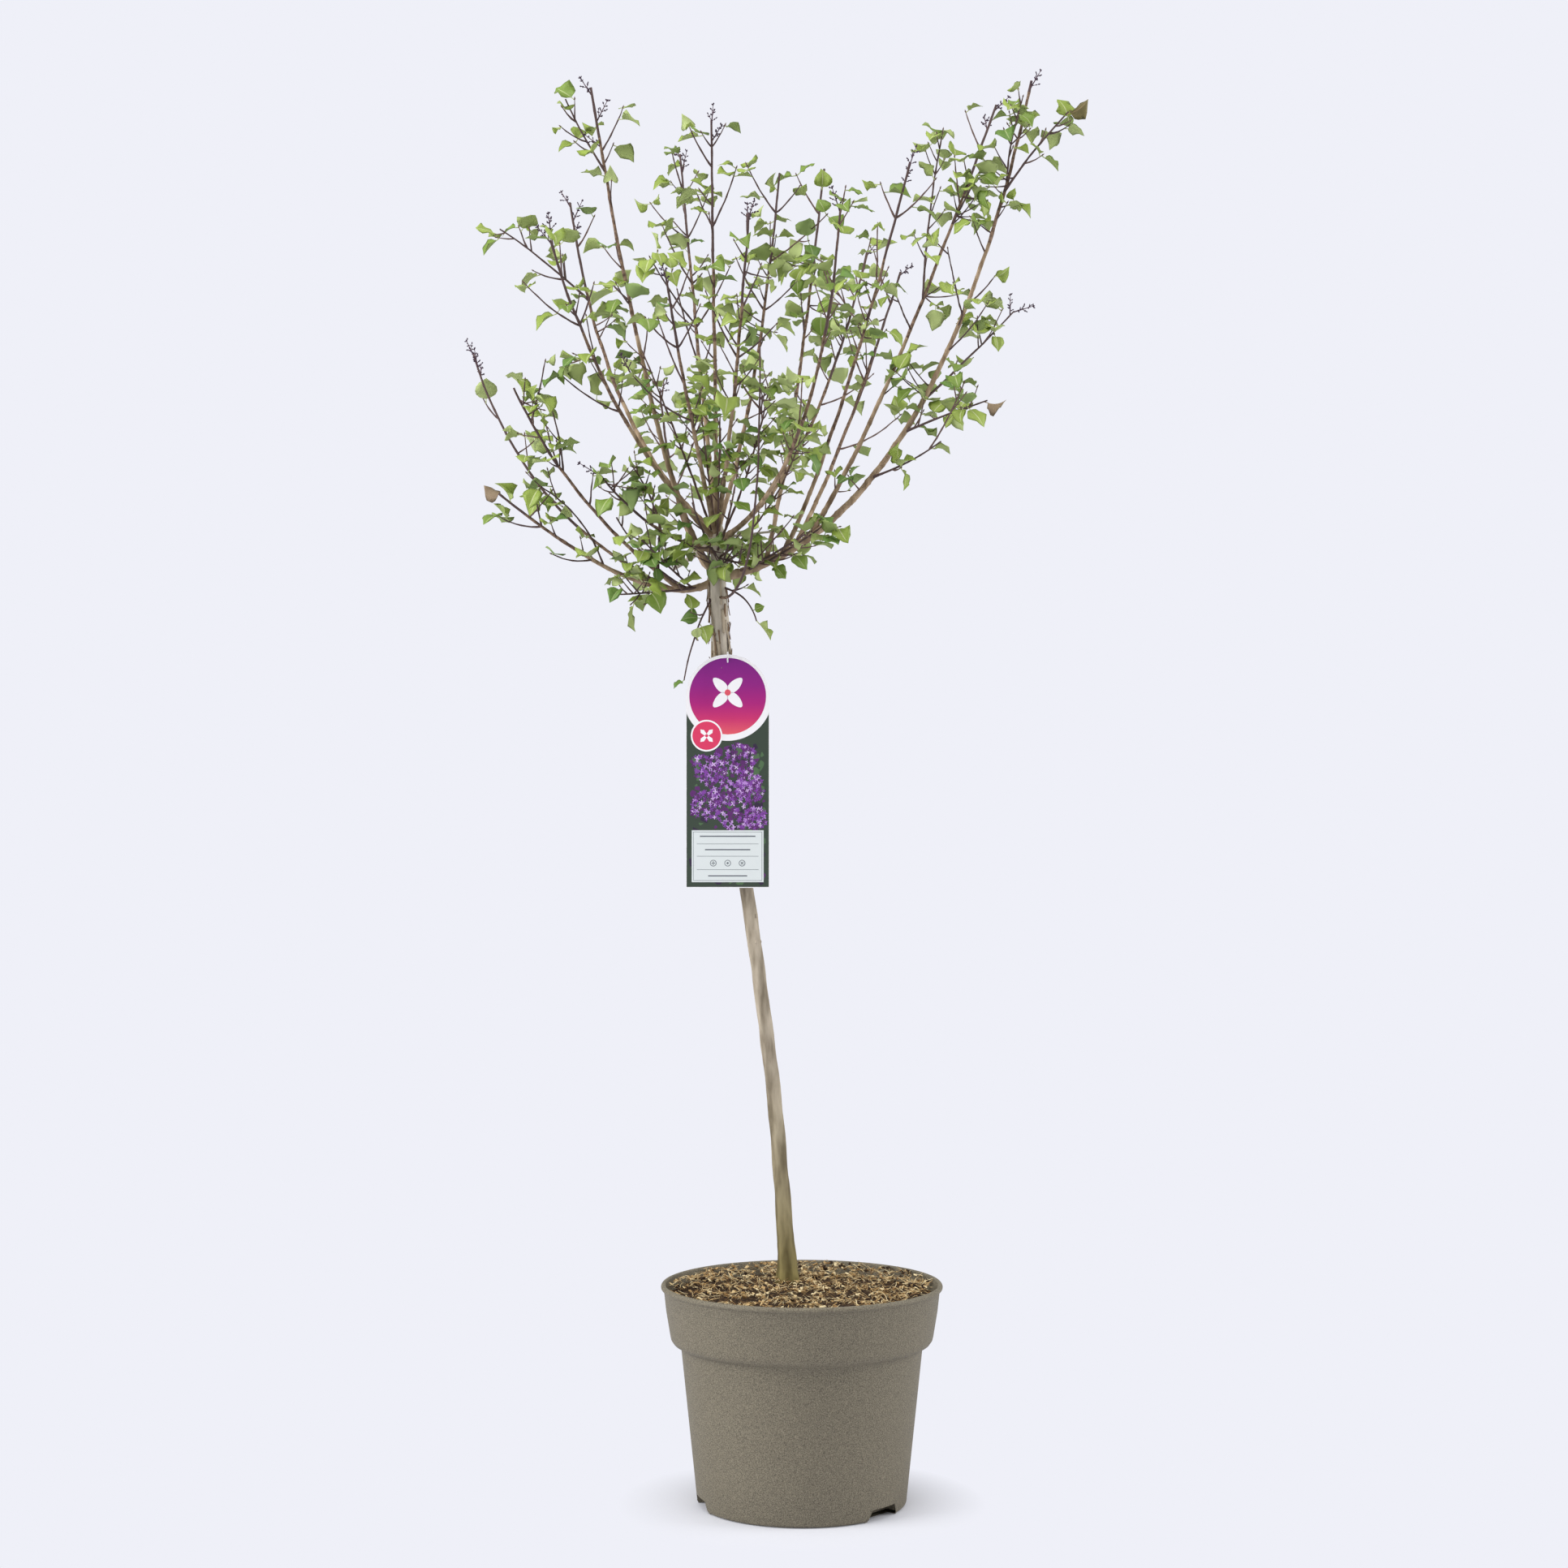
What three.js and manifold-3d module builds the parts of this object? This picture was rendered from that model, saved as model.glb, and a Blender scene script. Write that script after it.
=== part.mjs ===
// A small-leaved lilac grown as a standard: one leaning stem with a bushy head, in a nursery pot.
// Millimetres, +Z up. The origin is the middle of the pot's flat underside.
// Every limb is one tapering tube on a bend from foot to tip. Its lower part is a bare bough, and its
// upper part carries a mass of foliage: side shoots, leaves and flower buds by one seeded rule.
import * as THREE from "three";
import { mergeVertices } from "three/addons/utils/BufferGeometryUtils.js";
import Module from "manifold-3d";

const wasm = await Module();
wasm.setup();
const { Manifold } = wasm;

// ---- Driving dimensions ----

const CLEAR = 0.3; // air between two pieces that touch on the real plant
const UP = new THREE.Vector3(0, 0, 1);

// Pot: a thin wall with a deep collar, a rolled lip and three drain notches in its foot
const POT_WALL = 2.2;
const POT_FLOOR = 2.6;
const POT_FOOT_RADIUS = 101.8;
const POT_FLARE = 0.105; // radius gained per millimetre of height
const COLLAR_BOTTOM = 154.5;
const COLLAR_RADIUS = 128.6;
const COLLAR_TOP_RADIUS = 134.6;
const LIP_HEIGHT = 208.2;
const LIP_RADIUS = 137.4;
const POT_HEIGHT = 213.6;
const POT_SIDES = 40;
const NOTCH = { bearings: [50, 170, 285], width: 48, topWidth: 34, height: 11, depth: 13 };

// Compost: fills the pot to just below its lip, lumpy, with a low mound round the stem
const SOIL_EDGE = 209.2;
const SOIL_RISE = 1.8; // how much higher the middle is than the edge
const SOIL_LUMP = 1.6;
const MOUND = { height: 213, topRadius: 15, footRadius: 44, depth: 12 };

// Stem: a slim leaning trunk. Girth rows are [share of its height, diameter].
const TRUNK_FOOT = new THREE.Vector3(-13.5, 20, MOUND.height + CLEAR);
const TRUNK_FORK = new THREE.Vector3(-83, 0, 900);
const TRUNK_TOP = 955;
const TRUNK_SWAY = 4.5; // sideways bow of its S bend
const TRUNK_GIRTH = [
  [0, 24], [0.015, 20], [0.05, 16.6], [0.15, 14.8], [0.4, 13.4], [0.62, 13.6], [0.76, 14.6],
  [0.82, 16.8], [0.86, 15.6], [0.9, 17.6], [0.925, 17], [0.945, 10.4], [0.958, 11.6],
  [0.975, 18.4], [0.99, 16], [1, 9],
];
const TRUNK_STUBS = [
  { from: [-84, 2, 938], to: [-126, 20, 912], wide: 7, thin: 4.4 }, // old pruned branch
  { from: [-80, -4, 941], to: [-30, -20, 945], wide: 3.4, thin: 2 }, // dead twig
];
const TRUNK_SIDES = 9;
const TRUNK_RINGS = 28;

// Tag: a card with a round head that hangs in front of the stem on a thin loop
const TAG = { width: 81, height: 227, thick: 0.8, top: 826.5, across: -72.2, hole: 5, holeDrop: 7.5 };
const LOOP = { thick: 1.5, steps: 26, sides: 3, lock: [5.5, 2.6, 4.5] };

const LIMB_SIDES = 5;

// Foliage. Each limb has its own runs of chance: for its shoots, for the leaves of each shoot, and for its tip.
const SHOOT_SEED = 7001;
const LEAF_SEED = 30011;
const TIP_SEED = 5003;
const NODE_GAP = 50; // between pairs of side shoots along a limb
const SHOOT_LENGTH = 74;
const SHOOT_ANGLE = 46; // degrees between a side shoot and its limb
const SHOOT_SWEEP = 0.3; // how far a shoot's tip turns up, as a share of its length
const SHOOT_WIDTH = 2.4;
const SHOOT_TIP = 1.6;
const LEAF_GAP = 31; // between pairs of leaves along a side shoot
const LEAF_LENGTH = 35;
const TIP_LEAF_LENGTH = 29;
const LEAF_WIDTH = 0.62; // share of a leaf's length
const LEAF_ROLL = 2.2; // how far leaves roll out of the level; 0 keeps every face to the sky
const LEAF_CUP = 0.05; // rise of a leaf's edges, as a share of its length
const LEAF_RIB = 0.8; // drop of its midrib
const LEAF_DROOP = 0.12; // drop of its tip, as a share of its length
const LEAF_STAGGER = 0.9; // how far the two feet of a pair lie apart along the twig
const SPACE_GAP = 2.4; // how much nearer its own limb a twig or leaf stays than any other limb
const SPIKE_LENGTH = 26;
const SPIKE_WIDTH = 8;

// Limbs. on: what the limb grows from. at: height on the trunk in mm, or share of the parent limb.
// tip: where it ends. out, up: how far along the way out, and up, its elbow lies.
// wide, thin: diameters at foot and tip. bare: share of it that is a bough without leaves.
// leafy: chance that a bud has grown into a shoot. vigour: length of those shoots. buds: flower spikes at its tip.
const LIMBS = [
  { name: "left_low", on: "trunk", at: 900, tip: [-292, -40, 980], out: 0.29, up: -0.5, wide: 8.4, thin: 2.2, bare: 0.36, leafy: 0.75, vigour: 0.8, buds: 0 },
  { name: "left_arm", on: "left_low", at: 0.25, tip: [-271, -110, 1072], out: 0.69, up: 0.42, wide: 4.2, thin: 2, bare: 0.34, leafy: 0.62, vigour: 0.9, buds: 0 },
  { name: "left_whip", on: "left_low", at: 0.3, tip: [-325, 40, 1126], out: 0.74, up: 0.3, wide: 3.6, thin: 1.9, bare: 0.72, leafy: 0.1, vigour: 0.4, buds: 3 },
  { name: "left_tall", on: "trunk", at: 904, tip: [-202, -60, 1366], out: 0.44, up: 0.11, wide: 7.6, thin: 2.4, bare: 0.46, leafy: 0.5, vigour: 0.8, buds: 3 },
  { name: "right_low", on: "trunk", at: 901, tip: [226, 20, 1392], out: 0.69, up: 0.09, wide: 9.4, thin: 2.6, bare: 0.6, leafy: 0.42, vigour: 0.95, buds: 1 },
  { name: "right_tip", on: "right_low", at: 0.87, tip: [261, 4, 1358], out: 0.5, up: 0.6, wide: 2.4, thin: 1.6, bare: 0, leafy: 0.9, vigour: 0.5, buds: 0 },
  { name: "right_inner", on: "right_low", at: 0.115, tip: [24, 150, 1333], out: 0.46, up: 0.28, wide: 5.2, thin: 2.2, bare: 0.4, leafy: 0.7, vigour: 1, buds: 0 },
  { name: "right_front", on: "right_low", at: 0.155, tip: [101, -110, 1284], out: 0.39, up: 0.22, wide: 5.2, thin: 2.2, bare: 0.46, leafy: 0.72, vigour: 1, buds: 2 },
  { name: "right_back", on: "right_low", at: 0.185, tip: [104, 190, 1234], out: 0.45, up: 0.33, wide: 5, thin: 2.2, bare: 0.36, leafy: 0.8, vigour: 1.1, buds: 1 },
  { name: "right_tall", on: "right_low", at: 0.22, tip: [195, 70, 1380], out: 0.38, up: 0.25, wide: 5.8, thin: 2.3, bare: 0.5, leafy: 0.68, vigour: 1.15, buds: 2 },
  { name: "right_spur", on: "right_low", at: 0.4, tip: [134, -34, 1031], out: 0.6, up: 0.4, wide: 2.4, thin: 1.4, bare: 0, leafy: 0.5, vigour: 0.35, buds: 0 },
  { name: "right_twig_low", on: "right_low", at: 0.5, tip: [179, -30, 1071], out: 0.48, up: 0.55, wide: 2.6, thin: 1.5, bare: 0, leafy: 0.6, vigour: 0.45, buds: 0 },
  { name: "right_twig_high", on: "right_low", at: 0.56, tip: [212, 60, 1172], out: 0.44, up: 0.4, wide: 2.8, thin: 1.5, bare: 0, leafy: 0.75, vigour: 0.5, buds: 2 },
  { name: "left_upper", on: "trunk", at: 944, tip: [-233, 90, 1286], out: 0.76, up: 0.29, wide: 6, thin: 2.2, bare: 0.44, leafy: 0.62, vigour: 0.95, buds: 3 },
  { name: "left_front", on: "trunk", at: 938, tip: [-235, -130, 1207], out: 0.68, up: 0.36, wide: 5.4, thin: 2.1, bare: 0.42, leafy: 0.75, vigour: 0.95, buds: 1 },
  { name: "left_tip", on: "left_tall", at: 0.9, tip: [-226, -64, 1354], out: 0.6, up: 0.5, wide: 2.2, thin: 1.5, bare: 0, leafy: 0.8, vigour: 0.35, buds: 0 },
  { name: "left_reach", on: "left_upper", at: 0.78, tip: [-300, 50, 1252], out: 0.52, up: 0.62, wide: 2.6, thin: 1.5, bare: 0, leafy: 0.7, vigour: 0.45, buds: 0 },
  { name: "front_left", on: "trunk", at: 941, tip: [-124, -205, 1158], out: 0.54, up: 0.43, wide: 5.4, thin: 2, bare: 0.42, leafy: 0.75, vigour: 1.05, buds: 1 },
  { name: "back_left", on: "trunk", at: 947, tip: [-126, 195, 1358], out: 0.4, up: 0.36, wide: 5.6, thin: 2, bare: 0.42, leafy: 0.7, vigour: 1.1, buds: 2 },
  { name: "centre_tall", on: "trunk", at: 948, tip: [-87, -50, 1337], out: 0.4, up: 0.36, wide: 5.6, thin: 2, bare: 0.36, leafy: 0.62, vigour: 0.95, buds: 2 },
  { name: "front_centre", on: "trunk", at: 943, tip: [-49, -225, 1213], out: 0.62, up: 0.4, wide: 5.4, thin: 2, bare: 0.38, leafy: 0.78, vigour: 1.05, buds: 2 },
  { name: "centre_right", on: "trunk", at: 946, tip: [-22, 90, 1316], out: 0.66, up: 0.35, wide: 5.4, thin: 2, bare: 0.38, leafy: 0.7, vigour: 1, buds: 0 },
  { name: "curved_front", on: "trunk", at: 936, tip: [34, -190, 1226], out: 0.86, up: 0.14, wide: 5.6, thin: 2, bare: 0.42, leafy: 0.78, vigour: 1.05, buds: 1 },
  { name: "curved_back", on: "trunk", at: 938, tip: [70, 232, 1262], out: 0.6, up: 0.18, wide: 5.6, thin: 2, bare: 0.36, leafy: 0.78, vigour: 1.15, buds: 1 },
  { name: "back_low", on: "trunk", at: 903, tip: [-150, 262, 1120], out: 0.7, up: 0.2, wide: 5.6, thin: 2, bare: 0.4, leafy: 0.78, vigour: 1.05, buds: 1 },
  { name: "thin_front", on: "trunk", at: 884, tip: [-40, -110, 1110], out: 1.05, up: -0.12, wide: 3, thin: 1.6, bare: 0.62, leafy: 0.7, vigour: 0.5, buds: 0 },
  { name: "left_mid", on: "trunk", at: 927, tip: [-190, -100, 991], out: 0.58, up: 0.11, wide: 4.4, thin: 1.6, bare: 0.36, leafy: 0.85, vigour: 0.65, buds: 1 },
  { name: "left_spray", on: "left_low", at: 0.2, tip: [-178, -52, 956], out: 0.6, up: 0.3, wide: 2.6, thin: 1.5, bare: 0, leafy: 0.85, vigour: 0.5, buds: 0 },
  { name: "right_spray", on: "right_low", at: 0.07, tip: [8, -64, 942], out: 0.5, up: 0.5, wide: 2.8, thin: 1.5, bare: 0, leafy: 0.9, vigour: 0.5, buds: 0 },
  { name: "head_spray", on: "trunk", at: 922, tip: [-104, -92, 966], out: 0.5, up: 0.3, wide: 2.8, thin: 1.5, bare: 0, leafy: 0.9, vigour: 0.5, buds: 0 },
  { name: "foot_spray", on: "left_low", at: 0.12, tip: [-174, -54, 882], out: 0.45, up: 0.7, wide: 2.6, thin: 1.5, bare: 0, leafy: 0.85, vigour: 0.55, buds: 0 },
  { name: "back_spray", on: "trunk", at: 912, tip: [-40, 104, 960], out: 0.5, up: 0.3, wide: 3, thin: 1.5, bare: 0, leafy: 0.9, vigour: 0.6, buds: 0 },
  { name: "droop_left", on: "trunk", at: 892, tip: [-114, -26, 801], out: 0.74, up: 0.45, wide: 2.2, thin: 1.3, bare: 0, leafy: 0.3, vigour: 0.25, buds: 0 },
  { name: "droop_right", on: "trunk", at: 894, tip: [-44, -26, 858], out: 0.83, up: 0.22, wide: 2.2, thin: 1.3, bare: 0, leafy: 0.3, vigour: 0.25, buds: 0 },
];

// ---- Small helpers ----

const radians = (degrees) => (degrees * Math.PI) / 180;
const mix = (a, b, share) => a + (b - a) * share;
const polar = (radius, bearing) => [radius * Math.sin(radians(bearing)), -radius * Math.cos(radians(bearing))];

// A seeded run of numbers from 0 to 1, the same every time.
function dice(seed) {
  let state = seed >>> 0;
  return () => {
    state = (Math.imul(state, 1664525) + 1013904223) >>> 0;
    return state / 4294967296;
  };
}

// A closed geometry as a solid that can be joined and cut.
function solidOf(geometry) {
  const bare = geometry.clone();
  bare.deleteAttribute("normal");
  bare.deleteAttribute("uv");
  const merged = mergeVertices(bare, 1e-5);
  return new Manifold(
    new wasm.Mesh({
      numProp: 3,
      vertProperties: new Float32Array(merged.attributes.position.array),
      triVerts: new Uint32Array(merged.index.array),
    }),
  );
}

// The body with the most faces, so that no loose scrap stays in a solid.
function mainBody(solid) {
  return solid.decompose().reduce((best, body) => (body.numTri() > best.numTri() ? body : best));
}

function meshOf(name, solid, material) {
  const { vertProperties, triVerts } = solid.getMesh();
  const geometry = new THREE.BufferGeometry();
  geometry.setAttribute("position", new THREE.BufferAttribute(vertProperties, 3));
  geometry.setIndex(new THREE.BufferAttribute(triVerts, 1));
  geometry.computeVertexNormals();
  const mesh = new THREE.Mesh(geometry, material);
  mesh.name = name;
  return mesh;
}

// A profile of [radius, height] points turned round the Z axis.
function turned(profile, sides) {
  const points = profile.map(([radius, height]) => new THREE.Vector2(radius, height));
  return new THREE.LatheGeometry(points, sides).rotateX(Math.PI / 2);
}

// A cylinder of length 1 whose points are moved one by one: place(share of length, x, y) gives the new point.
function bentCylinder(sides, rings, place) {
  const geometry = new THREE.CylinderGeometry(1, 1, 1, sides, rings);
  const points = geometry.attributes.position;
  for (let i = 0; i < points.count; i++) {
    const share = points.getY(i) + 0.5;
    const moved = place(share, points.getZ(i), points.getX(i));
    points.setXYZ(i, moved.x, moved.y, moved.z);
  }
  return solidOf(geometry);
}

// ---- Bends: the centre line of every limb and twig ----

// A bend from foot over elbow to tip, with its point and its three directions at any share of its length.
function bendOf(foot, elbow, tip) {
  const curve = new THREE.QuadraticBezierCurve3(foot, elbow, tip);
  const flat = new THREE.Vector3().crossVectors(elbow.clone().sub(foot), tip.clone().sub(foot));
  if (flat.length() < 1e-3) flat.crossVectors(tip.clone().sub(foot), new THREE.Vector3(0.3, 1, 0.2));
  flat.normalize();
  return {
    length: curve.getLength(),
    pace: (share) => 2 * elbow.clone().sub(foot).lerp(tip.clone().sub(elbow), share).length(),
    at: (share) => curve.getPoint(share),
    along: (share) => curve.getTangent(share),
    sideways: flat,
    outward: (share) => new THREE.Vector3().crossVectors(curve.getTangent(share), flat).normalize(),
  };
}

// The tapering tube round one stretch of a bend.
function tubeOf(bend, widthAt, sides, rings, from = 0, to = 1, extra = 0) {
  return bentCylinder(sides, rings, (step, x, y) => {
    const share = mix(from, to, step);
    const radius = widthAt(share) / 2 + extra;
    return bend
      .at(share)
      .addScaledVector(bend.sideways, x * radius)
      .addScaledVector(bend.outward(share), y * radius);
  });
}

// ---- Trunk ----

function trunkAxis(height) {
  const share = (height - TRUNK_FOOT.z) / (TRUNK_FORK.z - TRUNK_FOOT.z);
  const onward = Math.min(share, 1);
  return new THREE.Vector3(
    mix(TRUNK_FOOT.x, TRUNK_FORK.x, onward) + TRUNK_SWAY * Math.sin(2 * Math.PI * onward),
    mix(TRUNK_FOOT.y, TRUNK_FORK.y, onward),
    height,
  );
}

function trunkWidth(height) {
  const share = (height - TRUNK_FOOT.z) / (TRUNK_TOP - TRUNK_FOOT.z);
  const next = Math.max(1, TRUNK_GIRTH.findIndex(([at]) => at >= share));
  const [fromShare, fromWidth] = TRUNK_GIRTH[next - 1];
  const [toShare, toWidth] = TRUNK_GIRTH[next];
  return mix(fromWidth, toWidth, (share - fromShare) / (toShare - fromShare));
}

// Level rings, so that the foot is a flat cut on the compost. Rings crowd towards the knobbly head.
function trunkSolid(extra = 0) {
  const stubs = TRUNK_STUBS.map(({ from, to, wide, thin }) => {
    const [start, end] = [new THREE.Vector3(...from), new THREE.Vector3(...to)];
    const bend = bendOf(start, start.clone().lerp(end, 0.5), end);
    return tubeOf(bend, (share) => mix(wide, thin, share), 5, 1, 0, 1 + extra / bend.length, extra);
  });
  const stem = bentCylinder(TRUNK_SIDES, TRUNK_RINGS, (step, x, y) => {
    const share = step * (1.3 - 0.3 * step);
    const height = mix(TRUNK_FOOT.z, TRUNK_TOP, share);
    const bearing = Math.atan2(y, x);
    const lump = 1 + 0.05 * Math.sin(3 * bearing + height / 9) + 0.03 * Math.sin(5 * bearing - height / 23);
    const radius = (trunkWidth(height) / 2) * lump + extra;
    return trunkAxis(height).add(new THREE.Vector3(x * radius, y * radius, share < 0.5 ? 0 : extra * step));
  });
  return Manifold.union([stem, ...stubs]);
}

// ---- Limbs ----

function limbBends() {
  const bends = new Map();
  for (const limb of LIMBS) {
    const foot = limb.on === "trunk" ? trunkAxis(limb.at) : bends.get(limb.on).at(limb.at);
    const tip = new THREE.Vector3(...limb.tip);
    const elbow = new THREE.Vector3(
      mix(foot.x, tip.x, limb.out),
      mix(foot.y, tip.y, limb.out),
      mix(foot.z, tip.z, limb.up),
    );
    bends.set(limb.name, bendOf(foot, elbow, tip));
  }
  return bends;
}

const BENDS = limbBends();
const limbWidth = (limb) => (share) => mix(limb.wide, limb.thin, Math.pow(share, 0.75));

// The limb's own tube, a little fatter by extra, over one stretch of its length.
function limbTube(limb, from, to, extra = 0) {
  const bend = BENDS.get(limb.name);
  const rings = Math.max(2, Math.round(((to - from) * bend.length) / 56));
  return tubeOf(bend, limbWidth(limb), LIMB_SIDES, rings, from, to, extra);
}

// Every limb fattened by the clearance, and what a limb grows from, to cut its foot with.
const FAT = 1.3 * CLEAR; // a flat-sided tube is less fat between its corners
const FAT_LIMBS = new Map(LIMBS.map((limb) => [limb.name, limbTube(limb, 0, 1, FAT)]));
const FAT_TRUNK = trunkSolid(1.5 * CLEAR);
const carrierOf = (limb) => (limb.on === "trunk" ? FAT_TRUNK : FAT_LIMBS.get(limb.on));

// ---- Each mass's own space ----

// Every limb as a row of points with the limb's radius there.
const LINE_STEPS = 24;
const LINES = LIMBS.map((limb) => {
  const bend = BENDS.get(limb.name);
  const width = limbWidth(limb);
  return Array.from({ length: LINE_STEPS + 1 }, (_, i) => {
    const share = i / LINE_STEPS;
    return { share, point: bend.at(share), radius: width(share) / 2 };
  });
});
const TRUNK_LINE = Array.from({ length: 13 }, (_, i) => {
  const height = mix(760, TRUNK_TOP, i / 12);
  return { share: 0, point: trunkAxis(height), radius: trunkWidth(height) / 2 };
});

// Distance from a point to the surface of a line of points, over the stretch below a share of it.
function distanceTo(line, point, below = 1) {
  let nearest = Infinity;
  for (let i = 1; i < line.length && line[i - 1].share <= below; i++) {
    const start = line[i - 1].point;
    const run = line[i].point.clone().sub(start);
    const share = Math.min(1, Math.max(0, point.clone().sub(start).dot(run) / run.lengthSq()));
    const gap = start.clone().addScaledVector(run, share).distanceTo(point);
    nearest = Math.min(nearest, gap - mix(line[i - 1].radius, line[i].radius, share));
  }
  return nearest;
}

// A point is in a limb's space where that limb is the nearest one, clear of the trunk and of its own bare part.
function inSpace(index, point) {
  const own = distanceTo(LINES[index], point);
  const bare = LIMBS[index].bare;
  if (distanceTo(TRUNK_LINE, point) < SPACE_GAP) return false;
  if (bare > 0 && distanceTo(LINES[index], point, bare - 0.06) < SPACE_GAP) return false;
  return LINES.every((line, other) => other === index || distanceTo(line, point) > Math.max(own, 0) + SPACE_GAP);
}

// ---- Leaves and buds ----

// A leaf: a foot in the twig, two raised edges, a lower midrib between them and a drooping tip.
function leafCorners(foot, out, face, length) {
  const side = new THREE.Vector3().crossVectors(face, out).normalize();
  const lift = new THREE.Vector3().crossVectors(out, side).normalize();
  const widest = foot.clone().addScaledVector(out, length * 0.42);
  const spread = (length * LEAF_WIDTH) / 2;
  return {
    foot,
    tip: foot.clone().addScaledVector(out, length).addScaledVector(lift, -length * LEAF_DROOP),
    left: widest.clone().addScaledVector(side, spread).addScaledVector(lift, length * LEAF_CUP),
    right: widest.clone().addScaledVector(side, -spread).addScaledVector(lift, length * LEAF_CUP),
    rib: widest.clone().addScaledVector(lift, -LEAF_RIB),
  };
}

// A flower spike still in bud: a slim three-sided spindle, widest low down, its foot sunk in the limb.
function spikeCorners(foot, along, length) {
  const side = new THREE.Vector3().crossVectors(along, new THREE.Vector3(0.2, 0.3, 1)).normalize();
  const lift = new THREE.Vector3().crossVectors(along, side);
  const around = [90, 210, 330].map((bearing) =>
    foot.clone()
      .addScaledVector(along, length * 0.4)
      .addScaledVector(side, (Math.cos(radians(bearing)) * SPIKE_WIDTH) / 2)
      .addScaledVector(lift, (Math.sin(radians(bearing)) * SPIKE_WIDTH) / 2),
  );
  return {
    foot,
    tip: foot.clone().addScaledVector(along, length),
    left: around[1],
    right: around[2],
    rib: around[0],
  };
}

// The closed body on five such corners: three faces at the foot and three at the tip.
function bladeSolid({ foot, tip, left, right, rib }) {
  const geometry = new THREE.BufferGeometry().setFromPoints([foot, tip, left, right, rib]);
  geometry.setIndex([0, 3, 2, 0, 4, 3, 0, 2, 4, 1, 2, 3, 1, 3, 4, 1, 4, 2]);
  return solidOf(geometry);
}

// ---- Foliage: the seeded rule ----

// Which way a leaf grows from a twig: out and along it, its face to the sky, tilted and rolled a little.
function leafAim(along, round, sideways, outward, tilt, roll) {
  const out = sideways.clone().multiplyScalar(Math.cos(round))
    .addScaledVector(outward, Math.sin(round))
    .addScaledVector(along, 0.6);
  out.z = out.z * 0.8 + tilt * 0.5;
  const face = UP.clone().addScaledVector(along, 0.25);
  face.x += roll * LEAF_ROLL;
  face.y += tilt * LEAF_ROLL;
  return { out: out.normalize(), face };
}

// The pairs of leaves up one shoot, each pair a quarter turn on from the one below, the last ones small.
function leafPairs(index, number, bend, reach) {
  const throwDice = dice(LEAF_SEED + 97 * index + 1009 * number);
  const leaves = [];
  const pairs = Math.max(1, Math.round((reach * bend.length) / LEAF_GAP));
  for (let pair = 1; pair <= pairs; pair++) {
    const share = (reach * (pair - 0.2)) / pairs;
    for (const half of [0, 1]) {
      const [size, tilt, wander] = [throwDice(), throwDice() - 0.5, throwDice() - 0.5];
      const round = radians(90 * pair + 180 * half + 40 * wander);
      const young = pair === pairs ? 0.85 : 1;
      const length = LEAF_LENGTH * mix(0.74, 1.16, size) * young;
      const aim = leafAim(bend.along(share), round, bend.sideways, bend.outward(share), tilt, wander);
      const foot = bend.at(share).addScaledVector(bend.along(share), (half - 0.5) * LEAF_STAGGER);
      const corners = leafCorners(foot, aim.out, aim.face, length);
      const outer = [corners.tip, corners.left, corners.right, corners.rib];
      if (outer.every((corner) => inSpace(index, corner))) leaves.push(corners);
    }
  }
  return leaves;
}

// One side shoot: it leaves its limb at an angle, sweeps up, and ends where its limb's space ends.
function sideShoot(index, limb, share, round, length) {
  const bend = BENDS.get(limb.name);
  const foot = bend.at(share);
  const along = bend.along(share);
  const out = bend.sideways.clone().multiplyScalar(Math.cos(round))
    .addScaledVector(bend.outward(share), Math.sin(round));
  const aim = along.clone().multiplyScalar(Math.cos(radians(SHOOT_ANGLE)))
    .addScaledVector(out, Math.sin(radians(SHOOT_ANGLE)));
  const elbow = foot.clone().addScaledVector(aim, length * 0.5);
  const tip = foot.clone().addScaledVector(aim, length).addScaledVector(UP, length * SHOOT_SWEEP);
  const shoot = bendOf(foot, elbow, tip);
  const probes = [0.35, 0.5, 0.65, 0.8, 0.9, 1];
  const stop = probes.findIndex((probe) => !inSpace(index, shoot.at(probe)));
  const reach = stop < 0 ? 1 : stop === 0 ? 0 : probes[stop - 1];
  return { shoot, reach };
}

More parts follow.
